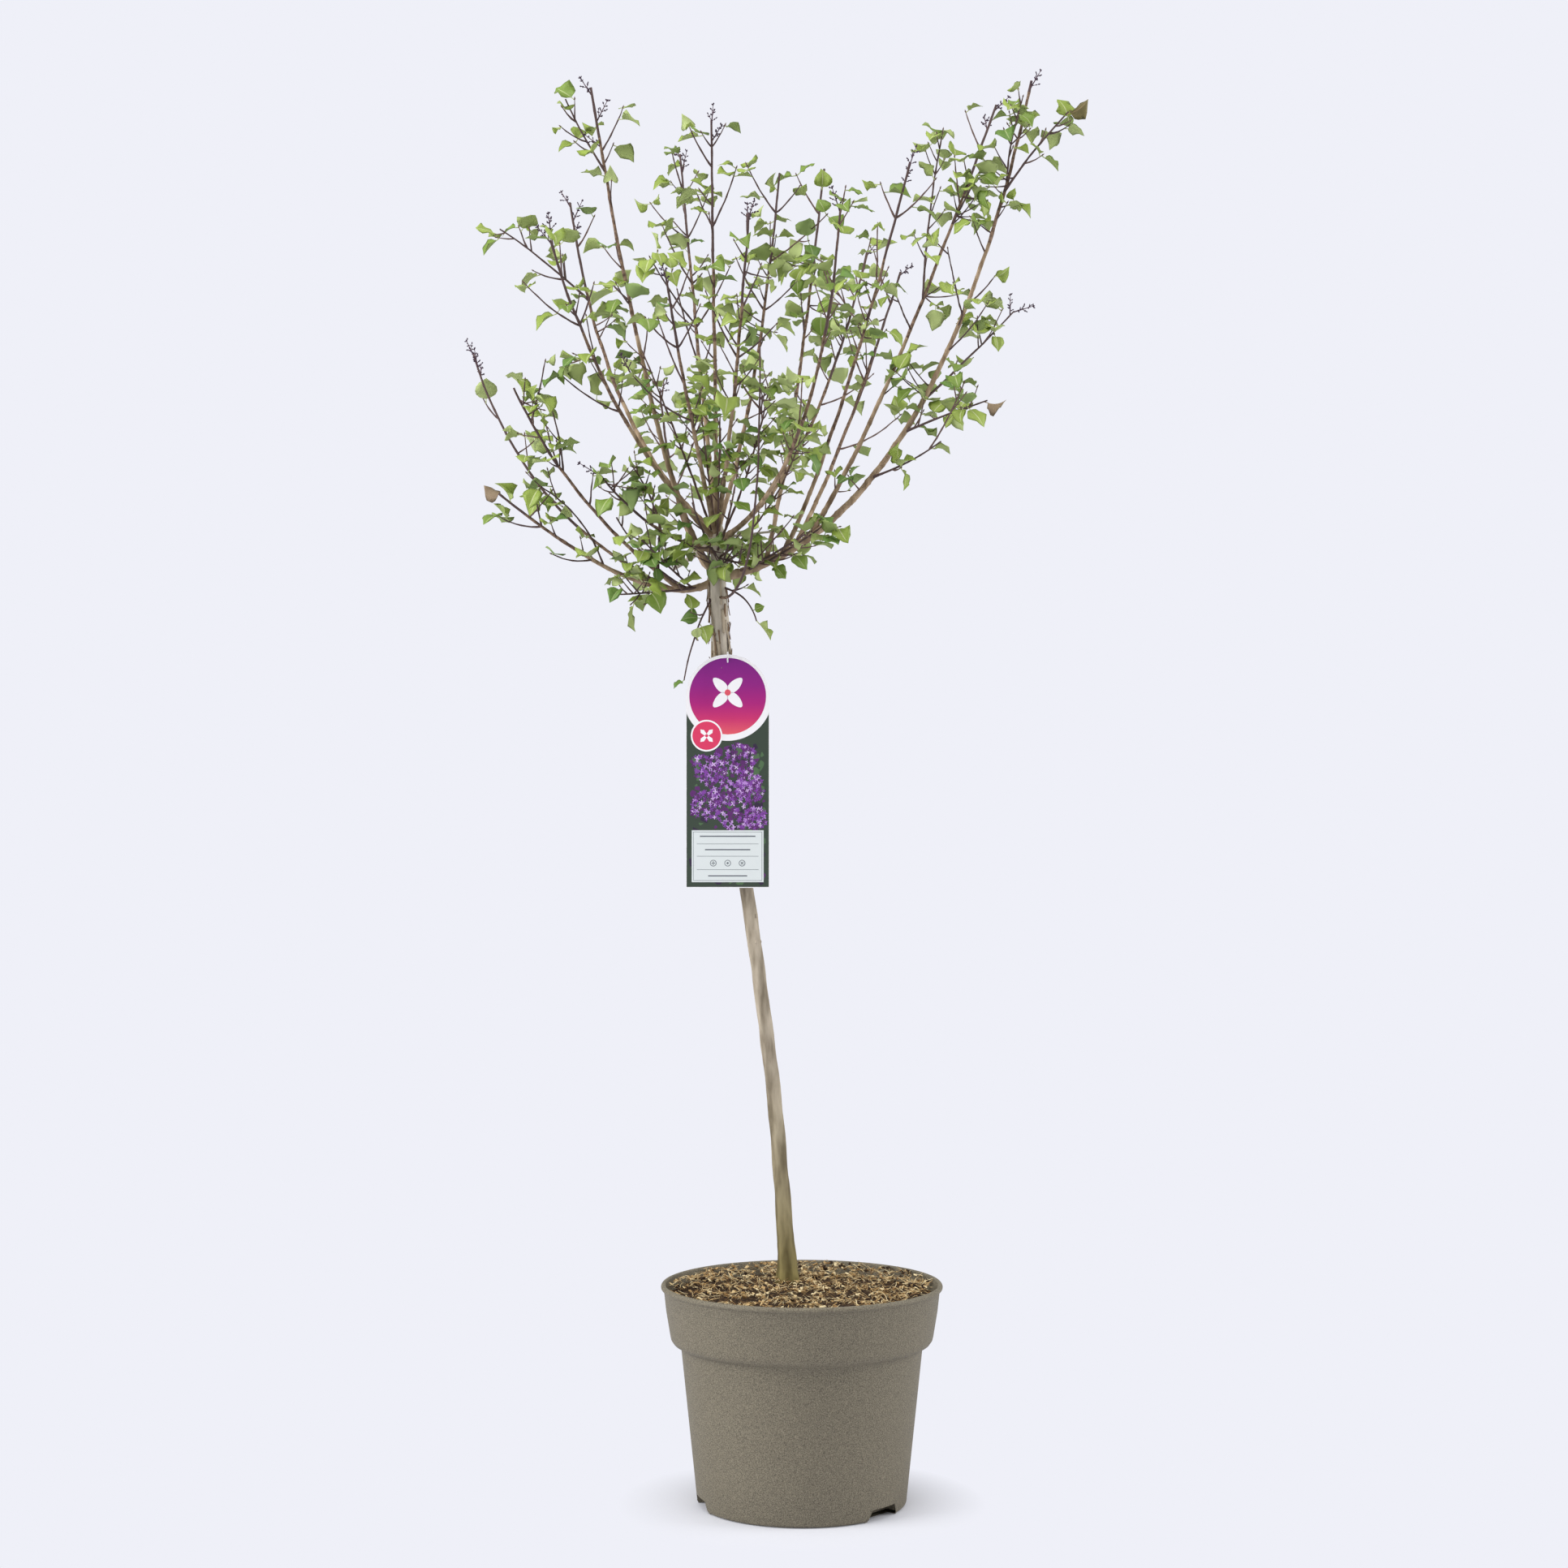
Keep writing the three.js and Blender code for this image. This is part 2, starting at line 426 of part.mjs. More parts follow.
// A mass: its stem, and each shoot, leaf and spike that has room. What would touch another limb, or
// another twig or leaf of the same mass, is left out. A probe is a piece without its sunk foot.
function massSolid(limb, index) {
  const throwDice = dice(SHOOT_SEED + 97 * index);
  const bend = BENDS.get(limb.name);
  const from = limb.bare > 0 ? limb.bare + (1.1 * CLEAR) / bend.pace(limb.bare) : 0;
  const others = LIMBS.filter((other) => other !== limb).map((other) => FAT_LIMBS.get(other.name));
  const obstacles = Manifold.union([FAT_TRUNK, ...others]);
  let mass = limbTube(limb, from, 1);
  const hasRoom = (body, piece, probe) =>
    body.intersect(probe).isEmpty() && obstacles.intersect(piece).isEmpty();

  const nodes = Math.max(2, Math.round((bend.length * (1 - limb.bare)) / NODE_GAP));
  for (let node = 0; node < nodes; node++) {
    const share = mix(limb.bare, 1, (node + 0.6) / (nodes + 0.35));
    const taper = 1 - 0.55 * (node / nodes);
    for (const half of [0, 1]) {
      const [grown, size, wander] = [throwDice(), throwDice(), throwDice() - 0.5];
      if (grown > limb.leafy) continue;
      const length = SHOOT_LENGTH * limb.vigour * taper * mix(0.55, 1.15, size);
      const round = radians(90 * node + 180 * half + 35 * wander + 45);
      const { shoot, reach } = sideShoot(index, limb, share, round, length);
      if (reach * shoot.length < 12) continue;
      const width = (step) => mix(SHOOT_WIDTH, SHOOT_TIP, step);
      const rings = reach * shoot.length > 60 ? 2 : 1;
      const twig = tubeOf(shoot, width, 3, rings, 0, reach);
      if (!hasRoom(mass, twig, tubeOf(shoot, width, 3, 1, 0.3 * reach, reach))) continue;
      let spray = twig;
      for (const leaf of leafPairs(index, 2 * node + half, shoot, reach)) {
        const blade = bladeSolid(leaf);
        const probe = bladeSolid({ ...leaf, foot: leaf.foot.clone().lerp(leaf.rib, 0.4) });
        if (hasRoom(mass.add(spray), blade, probe)) spray = spray.add(blade);
      }
      if (spray !== twig) mass = mass.add(spray);
    }
  }
  // The tip of the limb ends in flower spikes, or in a pair of leaves.
  const tipDice = dice(TIP_SEED + 97 * index);
  for (let piece = 0; piece < (limb.buds || 2); piece++) {
    const share = mix(0.99, 0.93, piece / 2);
    const round = radians(180 * piece + 120 * tipDice());
    const lean = bend.sideways.clone().multiplyScalar(Math.cos(round))
      .addScaledVector(bend.outward(share), Math.sin(round));
    const along = bend.along(share).addScaledVector(lean, 0.5 + 0.25 * piece).normalize();
    const size = mix(0.8, 1.1, tipDice());
    const corners = limb.buds
      ? spikeCorners(bend.at(share), along, SPIKE_LENGTH * size)
      : leafCorners(bend.at(share), along, lean, TIP_LEAF_LENGTH * size);
    const probe = bladeSolid({ ...corners, foot: corners.foot.clone().lerp(corners.tip, 0.3) });
    const blade = bladeSolid(corners);
    if (hasRoom(mass, blade, probe)) mass = mass.add(blade);
  }
  return mass;
}

// ---- Pot, compost, tag ----

function potOutline() {
  const atFoot = (height) => POT_FOOT_RADIUS + POT_FLARE * height;
  return [
    [POT_FOOT_RADIUS - 2.4, 0], [atFoot(2.4), 2.4],
    [atFoot(COLLAR_BOTTOM), COLLAR_BOTTOM], [COLLAR_RADIUS - 2.6, COLLAR_BOTTOM + 4.5],
    [COLLAR_RADIUS, COLLAR_BOTTOM + 9.5], [COLLAR_TOP_RADIUS, LIP_HEIGHT], [LIP_RADIUS, LIP_HEIGHT + 1.9],
    [LIP_RADIUS - 0.7, POT_HEIGHT - 1.3], [LIP_RADIUS - 3, POT_HEIGHT],
  ];
}

function potInside(gap = 0) {
  const atFoot = (height) => POT_FOOT_RADIUS + POT_FLARE * height - POT_WALL - gap;
  return [
    [LIP_RADIUS - 4.6 - gap, POT_HEIGHT - 1], [COLLAR_TOP_RADIUS - POT_WALL - gap, LIP_HEIGHT],
    [COLLAR_RADIUS - POT_WALL - gap, COLLAR_BOTTOM + 12.5 + gap],
    [atFoot(COLLAR_BOTTOM + 4), COLLAR_BOTTOM + 4.5 + gap], [atFoot(POT_FLOOR), POT_FLOOR + gap],
  ];
}

// A wedge with slanting sides that fills one drain notch, wider all round by extra.
function notchWedge(bearing, extra) {
  const half = NOTCH.width / 2 + extra;
  const halfTop = NOTCH.topWidth / 2 + extra;
  const top = NOTCH.height + extra;
  const outline = new THREE.Shape([
    new THREE.Vector2(-half, -5), new THREE.Vector2(half, -5), new THREE.Vector2(half, 0),
    new THREE.Vector2(halfTop, top), new THREE.Vector2(-halfTop, top), new THREE.Vector2(-half, 0),
  ]);
  const inner = POT_FOOT_RADIUS - NOTCH.depth - extra;
  const wedge = new THREE.ExtrudeGeometry(outline, { depth: 60, bevelEnabled: false });
  wedge.rotateX(Math.PI / 2).translate(0, -inner, 0).rotateZ(radians(bearing));
  return solidOf(wedge);
}

function potSolid() {
  const outer = [[0, 0], ...potOutline()];
  const whole = solidOf(turned([...outer, [0, POT_HEIGHT]], POT_SIDES));
  const shell = solidOf(turned([...outer, ...potInside(), [0, POT_FLOOR]], POT_SIDES));
  const pockets = NOTCH.bearings.map((bearing) => notchWedge(bearing, POT_WALL));
  const cuts = NOTCH.bearings.map((bearing) => notchWedge(bearing, 0));
  return shell.add(Manifold.union(pockets).intersect(whole)).subtract(Manifold.union(cuts));
}

function soilSolid() {
  const inside = potInside(CLEAR).filter(([, height]) => height < SOIL_EDGE - 1).reverse();
  const rim = COLLAR_TOP_RADIUS - POT_WALL - CLEAR;
  const top = [1, 0.7, 0.35].map((share) => [
    rim * share,
    SOIL_EDGE + SOIL_RISE * (1 - share),
  ]);
  const profile = [[0, POT_FLOOR + CLEAR], ...inside, ...top, [0, SOIL_EDGE + SOIL_RISE]];
  const geometry = turned(profile, POT_SIDES);
  const points = geometry.attributes.position;
  for (let i = 0; i < points.count; i++) {
    const [x, y, z] = [points.getX(i), points.getY(i), points.getZ(i)];
    if (z < SOIL_EDGE - 0.5) continue;
    points.setZ(i, z + SOIL_LUMP * Math.sin(x / 9 + 1) * Math.cos(y / 7 - x / 15));
  }
  const mound = new THREE.CylinderGeometry(MOUND.topRadius, MOUND.footRadius, MOUND.depth, 14)
    .rotateX(Math.PI / 2)
    .translate(TRUNK_FOOT.x, TRUNK_FOOT.y, MOUND.height - MOUND.depth / 2);
  const pockets = NOTCH.bearings.map((bearing) => notchWedge(bearing, POT_WALL + CLEAR));
  return solidOf(geometry).add(solidOf(mound)).subtract(Manifold.union(pockets));
}

// Where the tag hangs: its back just clear of the loop, which lies against the stem.
const HANG_HEIGHT = TAG.top - TAG.holeDrop;
const HANG = trunkAxis(HANG_HEIGHT);
const LOOP_RADIUS = trunkWidth(HANG_HEIGHT) * 0.545 + CLEAR + LOOP.thick / 2;
const TAG_BACK = HANG.y - LOOP_RADIUS - LOOP.thick / 2 - 2 * CLEAR;

function tagSolid() {
  const half = TAG.width / 2;
  const shoulder = TAG.height - half;
  const outline = new THREE.Shape();
  outline.moveTo(-half, 0).lineTo(half, 0).lineTo(half, shoulder);
  outline.absarc(0, shoulder, half, 0, Math.PI, false);
  outline.lineTo(-half, 0);
  outline.holes.push(
    new THREE.Path().absarc(0, TAG.height - TAG.holeDrop, TAG.hole / 2, 0, 2 * Math.PI, true),
  );
  const card = new THREE.ExtrudeGeometry(outline, { depth: TAG.thick, bevelEnabled: false, curveSegments: 9 });
  card.rotateX(Math.PI / 2).translate(TAG.across, TAG_BACK, TAG.top - TAG.height);
  return solidOf(card);
}

// The loop: round the stem, through the hole from behind, and back over the card's top edge.
function loopSolid() {
  const front = TAG_BACK - TAG.thick - 1.6 * CLEAR - LOOP.thick / 2;
  const behind = TAG_BACK + 1.6 * CLEAR + LOOP.thick / 2;
  const ring = (bearing, lift) => {
    const [x, y] = polar(LOOP_RADIUS, bearing);
    return new THREE.Vector3(HANG.x + x, HANG.y + y, HANG_HEIGHT + 2 + lift);
  };
  const over = TAG.top + 2 * CLEAR + LOOP.thick / 2 + 0.3;
  const route = [
    ...[176, 140, 105, 70, 38].map((bearing) => ring(bearing, 1.5 + 2 * (bearing / 180))),
    new THREE.Vector3(TAG.across + 2.2, behind, TAG.top - 2),
    new THREE.Vector3(TAG.across, behind - 0.2, over - 0.3),
    new THREE.Vector3(TAG.across, (front + behind) / 2, over + 0.6),
    new THREE.Vector3(TAG.across, front, over - 0.8),
    new THREE.Vector3(TAG.across, front - 0.2, HANG_HEIGHT + 2.6),
    new THREE.Vector3(TAG.across, (front + behind) / 2, HANG_HEIGHT),
    new THREE.Vector3(TAG.across - 1.6, behind, HANG_HEIGHT + 0.2),
    ...[-38, -70, -105, -140, -176].map((bearing) => ring(bearing, 1.5 - 2 * (bearing / 180))),
  ];
  const section = new THREE.Shape().absarc(0, 0, LOOP.thick / 2, 0, 2 * Math.PI, false);
  const strand = new THREE.ExtrudeGeometry(section, {
    steps: LOOP.steps,
    curveSegments: LOOP.sides,
    extrudePath: new THREE.CatmullRomCurve3(route),
  });
  const lock = new THREE.BoxGeometry(...LOOP.lock);
  lock.translate(HANG.x, HANG.y + LOOP_RADIUS + LOOP.thick / 2 - 0.2, ring(180, 3.5).z);
  return solidOf(strand).add(solidOf(lock));
}

// ---- Materials ----

const skin = (color, roughness) => new THREE.MeshStandardMaterial({ color, roughness, metalness: 0 });
const POT_PLASTIC = skin(0x7a7267, 0.6);
const COMPOST = skin(0x6d5438, 0.95);
const STEM_BARK = skin(0x8b7a5c, 0.85);
const BOUGH_BARK = skin(0x8a7258, 0.8);
const LEAF_GREEN = skin(0x6f9a3c, 0.6);
const TAG_CARD = skin(0x7d2f86, 0.4);
const LOOP_PLASTIC = skin(0xe9e6ea, 0.4);

// ---- The plant ----

const plant = new THREE.Group();
plant.add(meshOf("pot", potSolid(), POT_PLASTIC));
plant.add(meshOf("soil", mainBody(soilSolid()), COMPOST));
plant.add(meshOf("trunk", trunkSolid(), STEM_BARK));
plant.add(meshOf("tag", tagSolid(), TAG_CARD));
plant.add(meshOf("tag_loop", loopSolid(), LOOP_PLASTIC));

// Each limb is cut clear of what carries it and of the boughs made before it.
const taken = [];
LIMBS.forEach((limb, index) => {
  const carrier = Manifold.union([carrierOf(limb), ...taken]);
  if (limb.bare > 0) {
    const bough = mainBody(limbTube(limb, 0, limb.bare).subtract(carrier));
    plant.add(meshOf("bough_" + limb.name, bough, BOUGH_BARK));
    taken.push(limbTube(limb, 0, limb.bare, FAT));
  }
  const mass = mainBody(massSolid(limb, index).subtract(carrier).simplify(0.05));
  plant.add(meshOf("foliage_" + limb.name, mass, LEAF_GREEN));
});

export default plant;
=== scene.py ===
# %% [markdown]
# # A small-leaved lilac grown as a standard
# One leaning stem stands in a nursery pot and carries a bushy head of boughs, twigs, small leaves and
# flower buds. The CAD frame gives every piece its place. This lesson gives each piece its real surface:
# turned and cut plastic, crumbly compost, ridged bark, thin folded leaves and a printed card.

# %% Load the frame
import math

import bpy
import numpy as np
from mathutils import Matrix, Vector, noise


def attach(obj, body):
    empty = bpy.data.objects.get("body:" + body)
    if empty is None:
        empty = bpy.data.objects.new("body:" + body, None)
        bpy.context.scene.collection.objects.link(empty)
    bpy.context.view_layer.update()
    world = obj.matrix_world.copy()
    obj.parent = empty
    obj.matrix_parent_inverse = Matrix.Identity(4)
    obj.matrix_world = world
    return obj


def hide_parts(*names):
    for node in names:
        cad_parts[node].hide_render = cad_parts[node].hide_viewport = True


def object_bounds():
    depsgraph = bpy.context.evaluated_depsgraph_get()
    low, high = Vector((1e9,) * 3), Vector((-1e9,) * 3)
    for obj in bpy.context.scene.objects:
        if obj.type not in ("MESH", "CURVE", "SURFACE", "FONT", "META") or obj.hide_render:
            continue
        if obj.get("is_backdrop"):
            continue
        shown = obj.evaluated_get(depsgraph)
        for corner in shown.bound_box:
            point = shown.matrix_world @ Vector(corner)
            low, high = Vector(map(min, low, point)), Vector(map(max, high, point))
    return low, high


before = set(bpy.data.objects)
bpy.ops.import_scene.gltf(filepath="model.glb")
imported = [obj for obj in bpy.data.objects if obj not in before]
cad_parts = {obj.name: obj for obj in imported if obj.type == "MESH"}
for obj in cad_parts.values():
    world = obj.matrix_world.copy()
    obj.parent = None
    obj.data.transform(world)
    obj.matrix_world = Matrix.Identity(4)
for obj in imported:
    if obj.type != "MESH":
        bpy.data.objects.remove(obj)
cad_low, cad_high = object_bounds()
NODES = list(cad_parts)
print("CAD nodes:", len(NODES), "box:", tuple(cad_low), tuple(cad_high))

# %% [markdown]
# ## Small helpers
# The plant is worked out in millimetres, as a gardener would measure it, and Blender works in metres.
# Operators act on all that is selected, so each helper starts by deselecting everything. A finished piece
# rides on the one body of the frame, stands for the CAD nodes it replaces, and names its material slot.

# %% Helpers for pieces
MM = 0.001
BODY = "root"


def only(piece):
    """Selects one object and nothing else."""
    bpy.ops.object.select_all(action="DESELECT")
    piece.select_set(True)
    bpy.context.view_layer.objects.active = piece


def settle(piece, materials, replaced=()):
    """Puts a finished piece at the origin, on its body, with its finish."""
    only(piece)
    bpy.ops.object.transform_apply(location=True, rotation=True, scale=True)
    piece.data.materials.clear()
    for material in materials:
        piece.data.materials.append(material)
    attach(piece, BODY)
    if replaced:
        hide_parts(*replaced)
    print(piece.name, "faces:", len(piece.data.polygons))


class Bundle:
    """Many small closed shapes, gathered into one mesh. Points are in millimetres."""

    def __init__(self):
        self.points, self.faces, self.tones = [], [], []

    def add(self, points, faces, tone=0):
        start = len(self.points)
        self.points.extend(tuple(point) for point in points)
        self.faces.extend(tuple(start + corner for corner in face) for face in faces)
        self.tones.extend(tone if isinstance(tone, list) else [tone] * len(faces))

    def piece(self, name, smooth=True):
        mesh = bpy.data.meshes.new(name)
        mesh.from_pydata((np.array(self.points) * MM).tolist(), [], self.faces)
        mesh.polygons.foreach_set("use_smooth", [smooth] * len(self.faces))
        made = bpy.data.objects.new(name, mesh)
        bpy.context.scene.collection.objects.link(made)
        return made

    def paint(self, piece):
        """Deals the materials out to the faces, once they are on the piece."""
        piece.data.polygons.foreach_set("material_index", self.tones)
        piece.data.update()


# %% [markdown]
# ## Finishes
# One fine effect comes back in several finishes: a small-grained mottle on plastic, soil and bark. It is a
# shader node group with named inputs, built once, and it could also be painted, but a node group stays
# sharp at any distance. Every material keeps its own shader. Leaves, thin twigs, buds and print have plain
# colours, because they are too small for a pattern to show.

# %% Node group: a mottle of two colours with its height
def wire(tree, *wires):
    """Joins sockets. Each wire is a node, its output, the next node and its input."""
    for node, out, next_node, into in wires:
        tree.links.new(node.outputs[out], next_node.inputs[into])


def dial(node, values):
    """Sets sockets of a node by their names."""
    for label, value in values.items():
        node.inputs[label].default_value = value


def mottle_group():
    """A layered noise is shifted and steepened, and blends a dark and a light colour."""
    group = bpy.data.node_groups.new("mottle", "ShaderNodeTree")
    socket, new = group.interface.new_socket, group.nodes.new
    socket(name="Vector", in_out="INPUT", socket_type="NodeSocketVector")
    for label, value in (("Scale", 300.0), ("Detail", 3.0), ("Contrast", 4.0), ("Balance", 0.5)):
        socket(name=label, in_out="INPUT", socket_type="NodeSocketFloat").default_value = value
    for label, way in (("Dark", "INPUT"), ("Light", "INPUT"), ("Color", "OUTPUT")):
        socket(name=label, in_out=way, socket_type="NodeSocketColor")
    socket(name="Mask", in_out="OUTPUT", socket_type="NodeSocketFloat")
    into, out, cloud = new("NodeGroupInput"), new("NodeGroupOutput"), new("ShaderNodeTexNoise")
    shift, spread, blend = new("ShaderNodeMath"), new("ShaderNodeMath"), new("ShaderNodeMix")
    shift.operation, spread.operation, blend.data_type = "SUBTRACT", "MULTIPLY_ADD", "RGBA"
    spread.use_clamp = True
    spread.inputs[2].default_value = 0.5
    wire(group, (into, "Vector", cloud, "Vector"), (into, "Scale", cloud, "Scale"),
         (into, "Detail", cloud, "Detail"), (cloud, "Fac", shift, 0), (into, "Balance", shift, 1),
         (shift, 0, spread, 0), (into, "Contrast", spread, 1),
         (spread, 0, blend, "Factor"), (into, "Dark", blend, "A"), (into, "Light", blend, "B"),
         (blend, "Result", out, "Color"), (spread, 0, out, "Mask"))
    return group


MOTTLE = mottle_group()

# %% Material makers
def colour(hex_code):
    """An sRGB colour such as 7a7267 as the linear values that Blender wants."""
    parts = [int(hex_code[i : i + 2], 16) / 255 for i in (0, 2, 4)]
    return [p / 12.92 if p <= 0.04045 else ((p + 0.055) / 1.055) ** 2.4 for p in parts] + [1.0]


def finish(name, hex_code, roughness, specular=0.4):
    """A plain finish of one colour."""
    material = bpy.data.materials.new(name)
    material.use_nodes = True
    dial(material.node_tree.nodes["Principled BSDF"],
         {"Base Color": colour(hex_code), "Roughness": roughness, "Specular IOR Level": specular})
    return material


def mottled(material, dark, light, scale, contrast, bump=0.0, stretch=(1, 1, 1), detail=3.0):
    """Lays the mottle over a finish, on Object coordinates, with a small relief if one is asked for."""
    tree = material.node_tree
    shader = tree.nodes["Principled BSDF"]
    place, mapping = tree.nodes.new("ShaderNodeTexCoord"), tree.nodes.new("ShaderNodeMapping")
    spots = tree.nodes.new("ShaderNodeGroup")
    spots.node_tree = MOTTLE
    dial(mapping, {"Scale": stretch})
    dial(spots, {"Scale": scale, "Detail": detail, "Contrast": contrast})
    dial(spots, {"Dark": colour(dark), "Light": colour(light)})
    wire(tree, (place, "Object", mapping, "Vector"), (mapping, "Vector", spots, "Vector"),
         (spots, "Color", shader, "Base Color"))
    if bump:
        relief = tree.nodes.new("ShaderNodeBump")
        dial(relief, {"Distance": bump * MM})
        wire(tree, (spots, "Mask", relief, "Height"), (relief, "Normal", shader, "Normal"))
    return material, spots


# %% [markdown]
# ## The pot
# A nursery pot is blown or moulded from recycled plastic: a thin flared wall, a deep collar to grip it
# by, a rolled lip and three notches in the foot that let water out. It is a turned shape, so it grows from
# one circle: the cap is extruded and resized ring by ring, inset at the lip and sent down inside.

# %% Pot sizes
POT_WALL, POT_FLOOR, POT_SIDES = 2.2, 2.6, 144
FOOT_RADIUS, FOOT_EDGE, FLARE = 101.8, 2.4, 0.105
COLLAR_BOTTOM, COLLAR_RADIUS, COLLAR_TOP_RADIUS = 154.5, 128.6, 134.6
LIP_HEIGHT, LIP_RADIUS, POT_HEIGHT = 208.2, 137.4, 213.6
NOTCH_BEARINGS = (50, 170, 285)
NOTCH_WIDTH, NOTCH_TOP, NOTCH_HEIGHT, NOTCH_DEPTH = 48.0, 34.0, 11.0, 13.0
POCKET_HEIGHT = 30.0


def wall_radius(height):
    return FOOT_RADIUS + FLARE * height


POT_OUTSIDE = [
    (FOOT_RADIUS - 1.2, 0.5), (FOOT_RADIUS - 0.3, 1.4), (wall_radius(2.8), 2.8), (wall_radius(40), 40),
    (wall_radius(90), 90), (wall_radius(146), 146), (wall_radius(COLLAR_BOTTOM - 1.4), COLLAR_BOTTOM - 1.4),
    (wall_radius(COLLAR_BOTTOM) + 0.9, COLLAR_BOTTOM + 0.2), (COLLAR_RADIUS - 6.4, COLLAR_BOTTOM + 0.8),
    (COLLAR_RADIUS - 3.2, COLLAR_BOTTOM + 2.6), (COLLAR_RADIUS - 1.1, COLLAR_BOTTOM + 5.6),
    (COLLAR_RADIUS - 0.2, COLLAR_BOTTOM + 9.2), (COLLAR_RADIUS + 0.3, 167), (132.4, 188),
    (COLLAR_TOP_RADIUS - 0.1, LIP_HEIGHT - 1.2), (COLLAR_TOP_RADIUS + 0.6, LIP_HEIGHT + 0.1),
    (LIP_RADIUS - 0.7, LIP_HEIGHT + 0.7), (LIP_RADIUS - 0.1, LIP_HEIGHT + 1.6),
    (LIP_RADIUS, LIP_HEIGHT + 2.8), (LIP_RADIUS - 0.4, LIP_HEIGHT + 4.0),
    (LIP_RADIUS - 1.3, POT_HEIGHT - 0.4), (LIP_RADIUS - 2.3, POT_HEIGHT),
]
POT_INSIDE = [
    (LIP_RADIUS - 3.6, POT_HEIGHT - 0.1), (LIP_RADIUS - 4.5, POT_HEIGHT - 1.0),
    (LIP_RADIUS - 4.9, POT_HEIGHT - 3.1),
    (COLLAR_TOP_RADIUS - POT_WALL, LIP_HEIGHT - 1.0), (COLLAR_RADIUS - POT_WALL, COLLAR_BOTTOM + 12.5),
    (wall_radius(COLLAR_BOTTOM + 4) - POT_WALL, COLLAR_BOTTOM + 4.5),
    (wall_radius(POT_FLOOR) - POT_WALL, POT_FLOOR),
]


# %% Turn the pot from one circle
def grow_rings(rings, start):
    """Extrudes the selected cap through a list of (radius, height) rings."""
    radius, height = start
    for next_radius, next_height in rings:
        bpy.ops.mesh.extrude_region_move(
            TRANSFORM_OT_translate={"value": (0, 0, (next_height - height) * MM)}
        )
        share = next_radius / radius
        bpy.ops.transform.resize(value=(share, share, 1), center_override=(0, 0, 0))
        radius, height = next_radius, next_height


bpy.ops.object.select_all(action="DESELECT")
bpy.ops.mesh.primitive_circle_add(
    vertices=POT_SIDES, radius=(FOOT_RADIUS - FOOT_EDGE) * MM, fill_type="NGON", location=(0, 0, 0)
)
pot = bpy.context.object
pot.name = "nursery_pot"
bpy.ops.object.mode_set(mode="EDIT")
bpy.ops.mesh.select_all(action="SELECT")
grow_rings(POT_OUTSIDE + POT_INSIDE, (FOOT_RADIUS - FOOT_EDGE, 0.0))
bpy.ops.mesh.select_all(action="SELECT")
bpy.ops.mesh.normals_make_consistent(inside=False)
bpy.ops.object.mode_set(mode="OBJECT")
print("pot rings:", len(POT_OUTSIDE + POT_INSIDE), "faces:", len(pot.data.polygons))

# %% [markdown]
# The drain notches are wedges cut through foot and wall. Behind each one the plastic folds inwards, so the
# pot stays closed: first a slightly larger wedge, trimmed to the wall, is joined to the pot, then the notch
# itself is cut out. Inset faces would do for square pockets, but a Boolean follows the round wall.

# %% Cut the drain notches
def wedge(bearing, extra, reach):
    """A block with slanting sides that points out along a bearing."""
    bpy.ops.object.select_all(action="DESELECT")
    bpy.ops.mesh.primitive_cube_add(size=2 * MM, location=(0, 0, 0))
    block = bpy.context.object
    half, half_top = NOTCH_WIDTH / 2 + extra, NOTCH_TOP / 2 + extra
    inner = FOOT_RADIUS - NOTCH_DEPTH - extra
    turn = math.radians(bearing)
    for corner in block.data.vertices:
        top = corner.co.z > 0
        x = (half_top if top else half) * (1 if corner.co.x > 0 else -1)
        y = -(reach if corner.co.y < 0 else inner)
        z = NOTCH_HEIGHT + extra if top else -5
        corner.co = Vector((
            x * math.cos(turn) - y * math.sin(turn), x * math.sin(turn) + y * math.cos(turn), z
        )) * MM
    return block


def combine(piece, tool, operation):
    """Joins, cuts or trims a piece with another shape, which is then removed."""
    change = piece.modifiers.new(operation.lower(), "BOOLEAN")
    change.operation, change.object, change.solver = operation, tool, "EXACT"
    only(piece)
    bpy.ops.object.modifier_apply(modifier=change.name)
    bpy.data.objects.remove(tool)


for bearing in NOTCH_BEARINGS:
    pocket = wedge(bearing, POT_WALL, FOOT_RADIUS + 20)
    bpy.ops.object.select_all(action="DESELECT")
    bpy.ops.mesh.primitive_cone_add(
        vertices=POT_SIDES, radius1=(FOOT_RADIUS - 0.9) * MM, radius2=(wall_radius(POCKET_HEIGHT) - 0.6) * MM,
        depth=POCKET_HEIGHT * MM, location=(0, 0, POCKET_HEIGHT / 2 * MM),
    )
    combine(pocket, bpy.context.object, "INTERSECT")
    combine(pot, pocket, "UNION")
    combine(pot, wedge(bearing, 0, FOOT_RADIUS + 40), "DIFFERENCE")
only(pot)
bpy.ops.object.shade_smooth_by_angle(angle=math.radians(32))
print("pot faces after the notches:", len(pot.data.polygons))

# %% Pot plastic
pot_plastic = finish("pot_plastic", "7a7267", 0.62, 0.35)
mottled(pot_plastic, "585246", "89816e", 1150.0, 3.0, bump=0.06, detail=1.0)
settle(pot, [pot_plastic], ["pot"])

# %% [markdown]
# ## The compost
# Potting compost is dark crumbs of peat with pale coconut chips and fibres in it. A disc with inset rings
# gives the bed, and its points are lifted by a layered noise. The chips and fibres are thousands of small
# closed shapes, joined into one piece, and they lie on that same bed.

